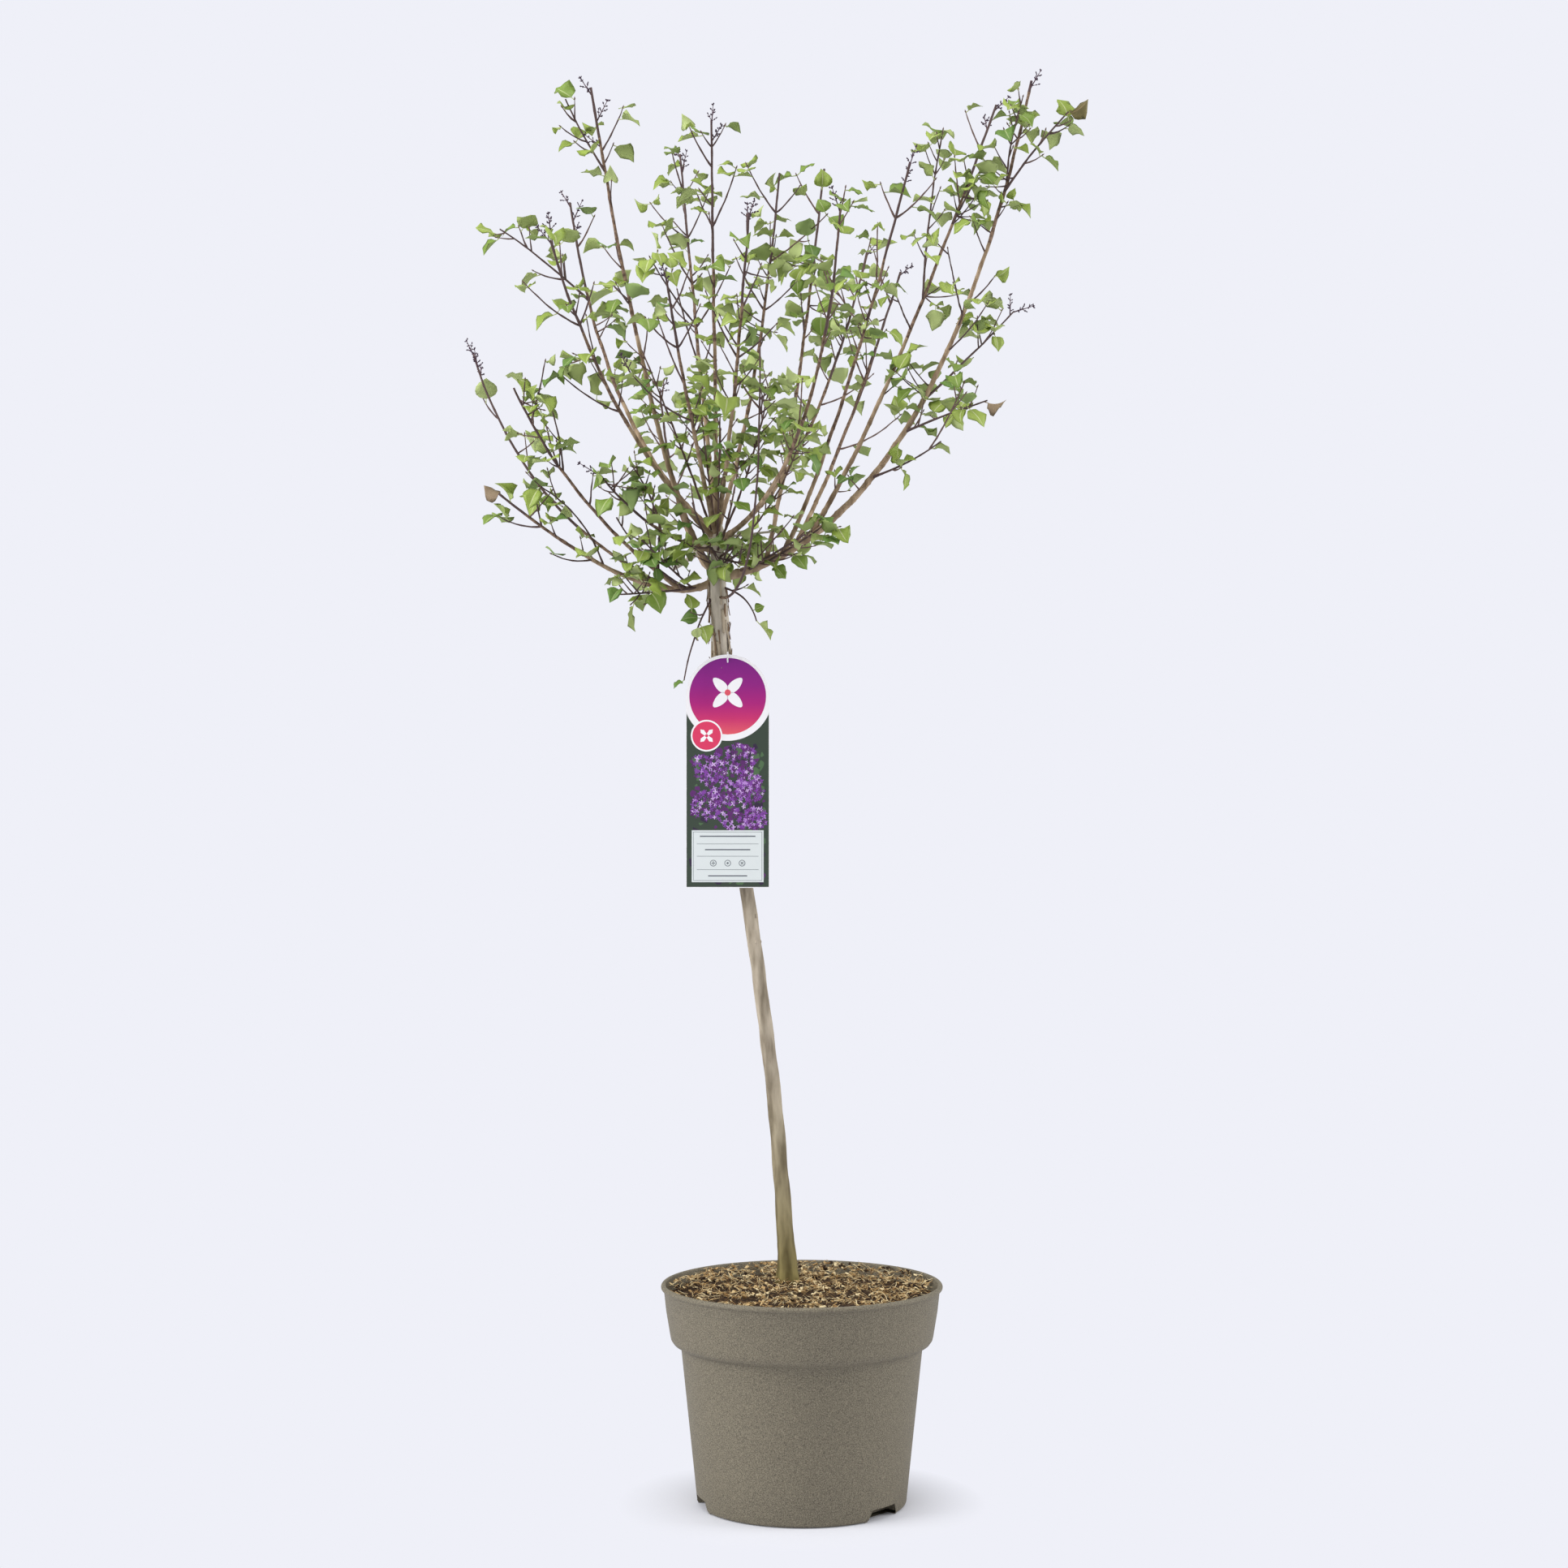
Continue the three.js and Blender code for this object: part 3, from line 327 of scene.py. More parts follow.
# %% Compost bed
SOIL_EDGE, SOIL_RISE, SOIL_BACK = 209.4, 1.6, 1.8
SOIL_RADIUS = COLLAR_TOP_RADIUS - POT_WALL - 0.3
BED_BOTTOM, BED_SHOULDER, BED_TAPER = 170.0, 200.0, 0.955
BED_SIDES, BED_RINGS, BED_RING_STEP = 160, 44, 2.9
STEM_X, STEM_Y, STEM_Z = -13.5, 20.0, 213.3
MOUND_RISE, MOUND_RADIUS = 2.5, 16.0


def clamp(value, low=0.0, high=1.0):
    return min(high, max(low, value))


def bed_height(x, y):
    """Height of the compost: a low dome, higher at the back, with lumps, crumbs and a mound at the stem."""
    share = clamp(math.hypot(x, y) / SOIL_RADIUS)
    lumps = 1.6 * math.sin(x / 9 + 1) * math.cos(y / 7 - x / 15)
    crumbs = 4.2 * noise.noise(Vector((x / 19, y / 19, 3))) + 2.2 * noise.noise(Vector((x / 6, y / 6, 9)))
    crumbs += 1.0 * noise.noise(Vector((x / 2.4, y / 2.4, 1)))
    mound = MOUND_RISE * math.exp(-((x - STEM_X) ** 2 + (y - STEM_Y) ** 2) / (2 * MOUND_RADIUS**2))
    edge = clamp((1 - share) * 9)
    back = SOIL_BACK * clamp(y / SOIL_RADIUS)
    return SOIL_EDGE + SOIL_RISE * (1 - share) + back + (lumps + crumbs) * (0.35 + 0.65 * edge) + mound


bpy.ops.object.select_all(action="DESELECT")
bpy.ops.mesh.primitive_circle_add(
    vertices=BED_SIDES, radius=SOIL_RADIUS * MM, fill_type="NGON", location=(0, 0, BED_BOTTOM * MM)
)
compost = bpy.context.object
compost.name = "compost_bed"
bpy.ops.object.mode_set(mode="EDIT")
bpy.ops.mesh.select_all(action="SELECT")
bpy.ops.transform.resize(value=(BED_TAPER, BED_TAPER, 1), center_override=(0, 0, BED_BOTTOM * MM))
bpy.ops.mesh.extrude_region_move(TRANSFORM_OT_translate={"value": (0, 0, (BED_SHOULDER - BED_BOTTOM) * MM)})
bpy.ops.transform.resize(value=(1 / BED_TAPER, 1 / BED_TAPER, 1), center_override=(0, 0, BED_SHOULDER * MM))
for ring in range(BED_RINGS):
    bpy.ops.mesh.inset(thickness=BED_RING_STEP * MM)
bpy.ops.mesh.poke()
bpy.ops.mesh.select_all(action="SELECT")
bpy.ops.mesh.normals_make_consistent(inside=False)
bpy.ops.object.mode_set(mode="OBJECT")
for point in compost.data.vertices:
    if point.co.z > (BED_SHOULDER - 1) * MM:
        point.co.z = bed_height(point.co.x / MM, point.co.y / MM) * MM
only(compost)
bpy.ops.object.shade_smooth()

compost_peat = finish("compost_peat", "4f3d2b", 0.95, 0.2)
mottled(compost_peat, "1e1610", "5a4430", 260.0, 5.0, bump=0.8, detail=6.0)
settle(compost, [compost_peat], ["soil"])

# %% [markdown]
# Chance is needed for every chip, twig and leaf, and it has to fall the same way each time. A small
# seeded rule gives numbers from 0 to 1. The CAD source grows its shoots with the same rule and the same
# seeds, so the dressed plant keeps the shape of its solids. Each kind of part has a seed of its own, and
# each limb or twig a step from it.

# %% Seeded chance
def dice(seed):
    state = seed & 0xFFFFFFFF

    def throw():
        nonlocal state
        state = (state * 1664525 + 1013904223) & 0xFFFFFFFF
        return state / 4294967296

    return throw


def mix(a, b, share):
    return a + (b - a) * share


# %% Helpers for small closed shapes
def unit(vector):
    length = math.sqrt(float(vector @ vector))
    return vector / length if length > 1e-9 else np.array([0.0, 0.0, 1.0])


def frame_of(along):
    """Two directions square to a line."""
    side = unit(np.cross(along, np.array([0.31, 0.17, 0.93])))
    return side, np.cross(side, along)


def skin_faces(rings, sides):
    """Faces of a closed skin over rings of points: the sides, then the two caps."""
    faces = []
    for i in range(rings - 1):
        for k in range(sides):
            a, b = i * sides + k, i * sides + (k + 1) % sides
            faces.append((a, b, b + sides, a + sides))
    return faces + [tuple(reversed(range(sides))), tuple(range((rings - 1) * sides, rings * sides))]


def tube(points, widths, sides, flat=1.0):
    """A closed tube round a row of points, with pointed or blunt ends as the widths say."""
    points = [np.asarray(point, float) for point in points]
    corners, side = [], None
    for i, point in enumerate(points):
        along = unit(points[min(i + 1, len(points) - 1)] - points[max(i - 1, 0)])
        if side is None:
            side, _ = frame_of(along)
        side = unit(side - along * (side @ along))
        lift, half = np.cross(along, side), widths[i] / 2
        for k in range(sides):
            turn = 2 * math.pi * k / sides
            corners.append(point + side * (math.cos(turn) * half) + lift * (math.sin(turn) * half * flat))
    return corners, skin_faces(len(points), sides)


BOX_FACES = [(0, 3, 2, 1), (4, 5, 6, 7), (0, 1, 5, 4), (1, 2, 6, 5), (2, 3, 7, 6), (3, 0, 4, 7)]


def chip(centre, along, length, width, thick, throw):
    """A torn flat chip: a box whose corners are pulled about."""
    across, up = frame_of(along)
    corners = []
    for z in (-0.5, 0.5):
        for x, y in ((-0.5, -0.5), (0.5, -0.5), (0.5, 0.5), (-0.5, 0.5)):
            pull = 0.7 + 0.5 * throw()
            shift = along * (x * length * pull) + across * (y * width * pull) + up * (z * thick)
            corners.append(centre + shift)
    return corners, BOX_FACES


def fibre(centre, along, length, bow, width):
    """A bowed flat strand with thinner ends."""
    side, up = frame_of(along)
    middle = centre + side * (bow * length) + up * 0.4
    ends = [centre - along * length / 2, middle, centre + along * length / 2]
    return tube(ends, [width * 0.6, width, width * 0.4], 3, 0.6)


# %% Chips and fibres of coconut on the bed
LITTER_SEED = 4102
CHIP_COUNT, FIBRE_COUNT, CRUMB_COUNT = 1300, 5400, 600
STEM_ROOM = 12.5
CHIP_TONES = [
    ("chip_pale", "d2b98a"), ("chip_tan", "b89868"), ("chip_brown", "8a6b45"), ("chip_straw", "e4d2a8"),
    ("crumb_dark", "3a2c21"),
]
CRUMB_TONE = len(CHIP_TONES) - 1
throw = dice(LITTER_SEED)
litter = Bundle()
for number in range(CHIP_COUNT + FIBRE_COUNT + CRUMB_COUNT):
    radius, bearing = (SOIL_RADIUS - 3) * math.sqrt(throw()), 2 * math.pi * throw()
    x, y = radius * math.cos(bearing), radius * math.sin(bearing)
    if math.hypot(x - STEM_X, y - STEM_Y) < STEM_ROOM:
        continue
    patch = noise.noise(Vector((x / 17, y / 12, 20))) + 0.5 * noise.noise(Vector((x / 6, y / 6, 31)))
    if throw() > clamp(0.52 + 3.4 * patch, 0.03, 1.0):
        continue
    heading, dip = 2 * math.pi * throw(), (throw() - 0.5) * 1.3
    along = unit(np.array([math.cos(heading), math.sin(heading), dip]))
    centre = np.array([x, y, bed_height(x, y) + 0.5 + 0.9 * throw()])
    tone = int(throw() * CRUMB_TONE)
    if number < CHIP_COUNT:
        length, width = 2.2 + 3.8 * throw() ** 2, 1.2 + 2.4 * throw()
        litter.add(*chip(centre, along, length, width, 0.5 + 0.7 * throw(), throw), tone)
    elif number < CHIP_COUNT + FIBRE_COUNT:
        length, bow = 4.5 + 11 * throw() ** 2, (throw() - 0.5) * 0.4
        litter.add(*fibre(centre, along, length, bow, 0.45 + 0.9 * throw() ** 2), tone)
    else:
        size = 1.2 + 2.0 * throw()
        litter.add(*chip(centre, along, size, size, size * 0.8, throw), CRUMB_TONE)
chips = litter.piece("coconut_chips", smooth=False)
settle(chips, [finish(name, code, 0.9, 0.2) for name, code in CHIP_TONES])
litter.paint(chips)

# %% [markdown]
# ## The shape of the plant
# The stem and every limb follow the named sizes of the CAD source, written again here: a limb is one bend
# from its foot over an elbow to its tip. The columns are what it grows from, where on it, its tip, how far
# out and up its elbow lies, its width at foot and tip, how much of it is bare, the chance and the vigour
# of its side shoots, and the flower buds at its tip.

# %% Stem line and girth
FORK_X, FORK_Y, FORK_Z = -83.0, 0.0, 900.0
STEM_TOP, STEM_SWAY = 955.0, 4.5
STEM_GIRTH = [
    (0, 24), (0.015, 20), (0.05, 16.6), (0.15, 14.8), (0.4, 13.4), (0.62, 13.6), (0.76, 14.6),
    (0.82, 16.8), (0.86, 15.6), (0.9, 17.6), (0.925, 17), (0.945, 10.4), (0.958, 11.6),
    (0.975, 18.4), (0.99, 16), (1, 9),
]
UP = np.array([0.0, 0.0, 1.0])


def stem_at(height):
    onward = min((height - STEM_Z) / (FORK_Z - STEM_Z), 1.0)
    return np.array([
        mix(STEM_X, FORK_X, onward) + STEM_SWAY * math.sin(2 * math.pi * onward),
        mix(STEM_Y, FORK_Y, onward),
        height,
    ])


def stem_width(height):
    share = (height - STEM_Z) / (STEM_TOP - STEM_Z)
    return float(np.interp(share, [row[0] for row in STEM_GIRTH], [row[1] for row in STEM_GIRTH]))


print("stem foot", stem_at(STEM_Z), "fork", stem_at(FORK_Z))

# %% The limbs, as in the CAD source
LIMB_ROWS = """
left_low trunk 900 -292 -40 980 0.29 -0.5 8.4 2.2 0.36 0.75 0.8 0
left_arm left_low 0.25 -271 -110 1072 0.69 0.42 4.2 2 0.34 0.62 0.9 0
left_whip left_low 0.3 -325 40 1126 0.74 0.3 3.6 1.9 0.72 0.1 0.4 3
left_tall trunk 904 -202 -60 1366 0.44 0.11 7.6 2.4 0.46 0.5 0.8 3
right_low trunk 901 226 20 1392 0.69 0.09 9.4 2.6 0.6 0.42 0.95 1
right_tip right_low 0.87 261 4 1358 0.5 0.6 2.4 1.6 0 0.9 0.5 0
right_inner right_low 0.115 24 150 1333 0.46 0.28 5.2 2.2 0.4 0.7 1 0
right_front right_low 0.155 101 -110 1284 0.39 0.22 5.2 2.2 0.46 0.72 1 2
right_back right_low 0.185 104 190 1234 0.45 0.33 5 2.2 0.36 0.8 1.1 1
right_tall right_low 0.22 195 70 1380 0.38 0.25 5.8 2.3 0.5 0.68 1.15 2
right_spur right_low 0.4 134 -34 1031 0.6 0.4 2.4 1.4 0 0.5 0.35 0
right_twig_low right_low 0.5 179 -30 1071 0.48 0.55 2.6 1.5 0 0.6 0.45 0
right_twig_high right_low 0.56 212 60 1172 0.44 0.4 2.8 1.5 0 0.75 0.5 2
left_upper trunk 944 -233 90 1286 0.76 0.29 6 2.2 0.44 0.62 0.95 3
left_front trunk 938 -235 -130 1207 0.68 0.36 5.4 2.1 0.42 0.75 0.95 1
left_tip left_tall 0.9 -226 -64 1354 0.6 0.5 2.2 1.5 0 0.8 0.35 0
left_reach left_upper 0.78 -300 50 1252 0.52 0.62 2.6 1.5 0 0.7 0.45 0
front_left trunk 941 -124 -205 1158 0.54 0.43 5.4 2 0.42 0.75 1.05 1
back_left trunk 947 -126 195 1358 0.4 0.36 5.6 2 0.42 0.7 1.1 2
centre_tall trunk 948 -87 -50 1337 0.4 0.36 5.6 2 0.36 0.62 0.95 2
front_centre trunk 943 -49 -225 1213 0.62 0.4 5.4 2 0.38 0.78 1.05 2
centre_right trunk 946 -22 90 1316 0.66 0.35 5.4 2 0.38 0.7 1 0
curved_front trunk 936 34 -190 1226 0.86 0.14 5.6 2 0.42 0.78 1.05 1
curved_back trunk 938 70 232 1262 0.6 0.18 5.6 2 0.36 0.78 1.15 1
back_low trunk 903 -150 262 1120 0.7 0.2 5.6 2 0.4 0.78 1.05 1
thin_front trunk 884 -40 -110 1110 1.05 -0.12 3 1.6 0.62 0.7 0.5 0
left_mid trunk 927 -190 -100 991 0.58 0.11 4.4 1.6 0.36 0.85 0.65 1
left_spray left_low 0.2 -178 -52 956 0.6 0.3 2.6 1.5 0 0.85 0.5 0
right_spray right_low 0.07 8 -64 942 0.5 0.5 2.8 1.5 0 0.9 0.5 0
head_spray trunk 922 -104 -92 966 0.5 0.3 2.8 1.5 0 0.9 0.5 0
foot_spray left_low 0.12 -174 -54 882 0.45 0.7 2.6 1.5 0 0.85 0.55 0
back_spray trunk 912 -40 104 960 0.5 0.3 3 1.5 0 0.9 0.6 0
droop_left trunk 892 -114 -26 801 0.74 0.45 2.2 1.3 0 0.3 0.25 0
droop_right trunk 894 -44 -26 858 0.83 0.22 2.2 1.3 0 0.3 0.25 0
"""


class Bend:
    """A curve from a foot over an elbow to a tip."""

    def __init__(self, foot, elbow, tip):
        self.foot, self.elbow, self.tip = foot, elbow, tip
        flat = np.cross(elbow - foot, tip - foot)
        if np.linalg.norm(flat) < 1e-3:
            flat = np.cross(tip - foot, np.array([0.3, 1.0, 0.2]))
        self.sideways = unit(flat)
        line = np.array([self.at(i / 40) for i in range(41)])
        self.length = float(np.linalg.norm(np.diff(line, axis=0), axis=1).sum())

    def at(self, s):
        return self.foot * (1 - s) ** 2 + self.elbow * (2 * s * (1 - s)) + self.tip * s * s

    def along(self, s):
        return unit((self.elbow - self.foot) * (1 - s) + (self.tip - self.elbow) * s)

    def outward(self, s):
        return unit(np.cross(self.along(s), self.sideways))


class Limb:
    """One row of the table, with its bend."""

    def __init__(self, row, limbs):
        words = row.split()
        self.name, self.on = words[0], words[1]
        numbers = [float(word) for word in words[2:]]
        at, self.tip = numbers[0], np.array(numbers[1:4])
        out, up, self.wide, self.thin, self.bare, self.leafy, self.vigour = numbers[4:11]
        self.buds = int(numbers[11])
        foot = stem_at(at) if self.on == "trunk" else limbs[self.on].bend.at(at)
        elbow = mix(foot, self.tip, np.array([out, out, up]))
        self.bend = Bend(foot, elbow, self.tip)

    def width(self, share):
        return mix(self.wide, self.thin, share**0.75)


limbs = {}
for row in LIMB_ROWS.strip().splitlines():
    limb = Limb(row, limbs)
    limbs[limb.name] = limb
LIMBS = list(limbs.values())
print("limbs:", len(LIMBS), "longest:", round(max(limb.bend.length for limb in LIMBS)), "mm")

# %% [markdown]
# ## Room for each limb
# A side shoot ends where another limb is nearer than its own, so the sprays keep out of each other and
# the gaps in the head stay open. All limb lines are held as one array of short straight stretches, and
# one call measures a point against all of them.

# %% Distances to the limbs
LINE_STEPS = 24
SPACE_MARGIN = 2.4
ON_STEM = -1
stretches = []


def note_line(owner, points, radii, shares):
    """Keeps the stretches of one line: start, run, radius, growth of the radius, owner and share."""
    for i in range(len(points) - 1):
        run, grow = points[i + 1] - points[i], radii[i + 1] - radii[i]
        stretches.append((*points[i], *run, radii[i], grow, owner, shares[i]))


for index, limb in enumerate(LIMBS):
    steps = [i / LINE_STEPS for i in range(LINE_STEPS + 1)]
    note_line(index, [limb.bend.at(s) for s in steps], [limb.width(s) / 2 for s in steps], steps)
heights = [mix(760, STEM_TOP, i / 12) for i in range(13)]
note_line(ON_STEM, [stem_at(h) for h in heights], [stem_width(h) / 2 for h in heights], [0] * 13)
columns = np.array(stretches).T.copy()
START, RUN = columns[0:3].T.copy(), columns[3:6].T.copy()
RADIUS, GROW, OWNER, SHARE = columns[6:]
RUN_SQUARE = (RUN * RUN).sum(axis=1)


def gaps_to_lines(point):
    """Distance from a point to the surface of every stretch of every limb."""
    step = np.clip(((point - START) * RUN).sum(axis=1) / RUN_SQUARE, 0, 1)
    return np.linalg.norm(START + RUN * step[:, None] - point, axis=1) - (RADIUS + GROW * step)


def in_space(index, point):
    """True where this limb is the nearest one, clear of the stem and of its own bare part."""
    gaps = gaps_to_lines(point)
    own = gaps[OWNER == index].min()
    if gaps[OWNER == ON_STEM].min() < SPACE_MARGIN:
        return False
    bare = LIMBS[index].bare
    if bare > 0 and gaps[(OWNER == index) & (SHARE <= bare - 0.06)].min() < SPACE_MARGIN:
        return False
    others = gaps[(OWNER != index) & (OWNER != ON_STEM)]
    return bool(others.min() > max(own, 0) + SPACE_MARGIN)


print("stretches of limb:", len(START))

# %% [markdown]
# ## The stem
# The bark of a young lilac stem is grey-brown and finely ridged, greenish near the compost, and it lifts
# in ragged strips below the head. A tube with many rings carries ridges, lumps and old bud scars as real
# relief. It is shaped in code because every point follows the girth table.

# %% Stem with relief
STEM_SIDES, STEM_SINK = 44, 3.0
PEEL_LOW, PEEL_HIGH, MOSS_HIGH = 780, 948, 240
RING_STEP, FINE_RING_STEP = 2.6, 1.6


def rough(point, size, seed=0.0):
    """A smooth noise between about -1 and 1 with bumps of one size in millimetres."""
    return noise.noise(Vector((point[0] / size + seed, point[1] / size, point[2] / size)))


def wander(point, size, seeds):
    """A small sideways step that changes smoothly along a line."""
    return np.array([rough(point, size, seed) for seed in seeds])


def stem_relief(bearing, height):
    """How a place on the stem bulges, as a share, and how far its bark stands out in millimetres."""
    round_x, round_y = math.cos(bearing), math.sin(bearing)
    lump = 0.05 * math.sin(3 * bearing + height / 9) + 0.03 * math.sin(5 * bearing - height / 23)
    ridge = noise.noise(Vector((round_x * 3.2, round_y * 3.2, height / 26)))
    fine = noise.noise(Vector((round_x * 7, round_y * 7, height / 9 + 40)))
    peel = clamp((height - PEEL_LOW) / 60) * clamp((PEEL_HIGH - height) / 12)
    peeling = abs(noise.noise(Vector((round_x * 2.4, round_y * 2.4, height / 16 + 7)))) * 1.5 * peel
    return lump, 0.34 * ridge + 0.2 * fine + peeling


stem_heights = []
height = STEM_Z - STEM_SINK
while height < STEM_TOP:
    stem_heights.append(height)
    height += FINE_RING_STEP if height > PEEL_LOW or height < MOSS_HIGH else RING_STEP
stem_heights += [STEM_TOP - 0.6, STEM_TOP]
stem, points = Bundle(), []
for height in stem_heights:
    centre = stem_at(height)
    for k in range(STEM_SIDES):
        bearing = 2 * math.pi * k / STEM_SIDES
        lump, bark = stem_relief(bearing, height)
        radius = stem_width(clamp(height, STEM_Z, STEM_TOP)) / 2 * (1 + lump) + bark
        if height > STEM_TOP - 0.3:
            radius *= 0.72
        points.append(centre + np.array([math.cos(bearing), math.sin(bearing), 0]) * radius)
stem.add(points, skin_faces(len(stem_heights), STEM_SIDES))
print("stem rings:", len(stem_heights))

# %% [markdown]
# Two old cuts show on the head: a thick pruned stub behind it and a thin dead twig. Below them the bark
# peels. Each peeling is a thin curled strip that is held at one end and lifts at the other.

# %% Stubs and scars
STUBS = [((-84, 2, 938), (-126, 20, 912), 7.0, 4.4), ((-80, -4, 941), (-30, -20, 945), 3.4, 2.0)]
STUB_STEPS, SCAR_COUNT, BARK_SEED = 18, 9, 911
for start, end, wide, thin in STUBS:
    start, end = np.array(start, float), np.array(end, float)
    line, widths = [], []
    for i in range(STUB_STEPS + 1):
        s = i / STUB_STEPS
        point = start + (end - start) * s
        line.append(point + wander(point, 14, (1, 5, 9)) * 1.1 * math.sin(math.pi * s))
        widths.append(mix(wide, thin, s) * (1 + 0.16 * rough(point, 6, 3)))
    stem.add(*tube(line, widths, 12))
throw = dice(BARK_SEED)
for number in range(SCAR_COUNT):
    height, bearing = mix(300, 760, throw()), 2 * math.pi * throw()
    out = np.array([math.cos(bearing), math.sin(bearing), 0])
    centre = stem_at(height) + out * (stem_width(height) / 2 - 0.7)
    scar_line = [centre + UP * lift for lift in (-2.6, -1.2, 0, 1.4, 2.6)]
    stem.add(*tube(scar_line, [0.6, 3.0, 4.0, 2.6, 0.4], 8, 0.6))
stem_piece = stem.piece("stem_bark")

# %% Peeling strips
PEELING_COUNT, PEELING_STEPS, PEELING_THICK = 64, 6, 0.45


def strip_faces(steps):
    """Faces of a strip of three points across, each with its underside: 0, 2, 4 above and 1, 3, 5 below."""
    faces = []
    for i in range(steps):
        a, b = i * 6, (i + 1) * 6
        faces += [(a, a + 2, b + 2, b), (a + 2, a + 4, b + 4, b + 2), (a + 1, b + 1, b + 3, a + 3),
                  (a + 3, b + 3, b + 5, a + 5), (a, b, b + 1, a + 1), (a + 4, a + 5, b + 5, b + 4)]
    b = steps * 6
    return faces + [(0, 1, 3, 2), (2, 3, 5, 4), (b, b + 2, b + 3, b + 1), (b + 2, b + 4, b + 5, b + 3)]


peelings = Bundle()
for number in range(PEELING_COUNT):
    height, bearing = mix(812, 893, throw()), 2 * math.pi * throw()
    length, width, lift = 8 + 20 * throw(), 1.2 + 2.6 * throw(), 0.6 + 3.0 * throw() ** 2
    direction = 1 if throw() < 0.5 else -1
    slant = (throw() - 0.5) * 0.5
    points, faces = [], strip_faces(PEELING_STEPS)
    for i in range(PEELING_STEPS + 1):
        s = i / PEELING_STEPS
        z = height + direction * length * (s - 0.5)
        turn = bearing + slant * (s - 0.5)
        for across in (-1, 0, 1):
            side_turn = turn + across * width * (1 - 0.5 * s) / stem_width(z)
            radius = stem_width(z) / 2 * 1.05 + 0.9 + lift * s**2.2 + 0.35 * abs(across) * s
            out = np.array([math.cos(side_turn), math.sin(side_turn), 0])
            points += [stem_at(z) + out * radius, stem_at(z) + out * (radius - PEELING_THICK)]
    if direction < 0:
        faces = [tuple(reversed(face)) for face in faces]
    peelings.add(points, faces, number % 2)
peelings_piece = peelings.piece("peeling_bark")
print("peelings:", PEELING_COUNT)

# %% Bark finishes
stem_bark, stem_spots = mottled(
    finish("stem_bark", "93866f", 0.85, 0.25), "7f7463", "bcb09e", 110.0, 3.2, bump=0.5, stretch=(1, 1, 0.2),
    detail=6.0,
)
bark_tree = stem_bark.node_tree
where, split = bark_tree.nodes.new("ShaderNodeTexCoord"), bark_tree.nodes.new("ShaderNodeSeparateXYZ")


def toned_by_height(source, source_socket, mode, hex_code, low, high):
    """Mixes one colour into the bark. Its share changes between two stops of (height in metres, share)."""
    fade, blend = bark_tree.nodes.new("ShaderNodeMapRange"), bark_tree.nodes.new("ShaderNodeMix")
    blend.data_type, blend.blend_type = "RGBA", mode
    dial(fade, {"From Min": low[0], "From Max": high[0], "To Min": low[1], "To Max": high[1]})
    dial(blend, {"B": colour(hex_code)})
    wire(bark_tree, (split, "Z", fade, "Value"), (fade, "Result", blend, "Factor"),
         (source, source_socket, blend, "A"))
    return blend


# The foot of the stem is greener. Under the head the bark is lightened towards a pale grey: painted light, as
# if the stem there were lit from the front and not shaded by the head
mossy = toned_by_height(stem_spots, "Color", "MULTIPLY", "b8b478", (0.215, 0.95), (0.43, 0.04))
painted_light_under_head = toned_by_height(mossy, "Result", "MIX", "e6ddcf", (0.8, 0.0), (0.838, 0.42))
wire(bark_tree, (where, "Object", split, "Vector"),
     (painted_light_under_head, "Result", bark_tree.nodes["Principled BSDF"], "Base Color"))
settle(stem_piece, [stem_bark], ["trunk"])
peel_grey, peel_brown = finish("peel_grey", "aa9c88", 0.9, 0.2), finish("peel_brown", "7a6450", 0.9, 0.2)
settle(peelings_piece, [peel_grey, peel_brown])
peelings.paint(peelings_piece)

# %% [markdown]
# ## Boughs
# A lilac bough is straight-grained and brown, with a slight knee and a swelling at each pair of buds.
# Every limb is one tube with close rings. Its width follows the table, swells at the nodes and flares
# where it leaves what carries it, and its line wanders by about a millimetre.

# %% Limb tubes
NODE_STEP = 26.0


def limb_width_at(limb, share):
    """The table's width with node swellings and a flared foot."""
    run = share * limb.bend.length
    node = (run + 9) % NODE_STEP - NODE_STEP / 2
    swell = 0.17 * math.exp(-((node / 1.8) ** 2))
    flare = (0.45 if limb.on == "trunk" and limb.wide > 4 else 0.3) * math.exp(-run / 9)
    return limb.width(share) * (1 + swell + flare)


def limb_line(limb, share):
    point = limb.bend.at(share)
    sway = 0.9 * clamp(share * limb.bend.length / 40) * clamp((1 - share) * limb.bend.length / 30)
    return point + wander(point, 30, (2, 6, 11)) * sway


BARK_WIDE, BARK_MID = 3.6, 2.7
boughs = Bundle()
for index, limb in enumerate(LIMBS):
    rings = max(6, int(limb.bend.length / 2.6))
    sides = 12 if limb.wide > 4 else 8
    line = [limb_line(limb, i / rings) for i in range(rings + 1)]
    widths = [limb_width_at(limb, i / rings) for i in range(rings + 1)]
    points, faces = tube(line, widths, sides)
    for i, point in enumerate(points):
        ring = i // sides
        out = point - line[ring]
        points[i] = line[ring] + out * (1 + 0.13 * rough(point, 3.5, 4) + 0.05 * rough(point, 1.3, 8))
    tones = []
    for i in range(rings):
        width = limb.width(i / rings) * (1 + 0.12 * rough(line[i], 40, 3))
        tones += [0 if width > BARK_WIDE else 1 if width > BARK_MID else 2] * sides
    boughs.add(points, faces, tones + [0, 2])
boughs_piece = boughs.piece("boughs")
bough_bark, _ = mottled(
    finish("bough_bark", "8a7258", 0.8, 0.25), "6c5742", "b19a80", 150.0, 2.6, bump=0.25,
    stretch=(1, 1, 0.35), detail=5.0,
)
bough_brown, _ = mottled(
    finish("bough_brown", "6f5848", 0.75, 0.25), "4b392f", "8f7663", 240.0, 3.0, bump=0.15
)
twig_dusk = finish("twig_dusk", "544240", 0.7, 0.3)
BOUGH_NODES = [name for name in NODES if name.startswith("bough_")]
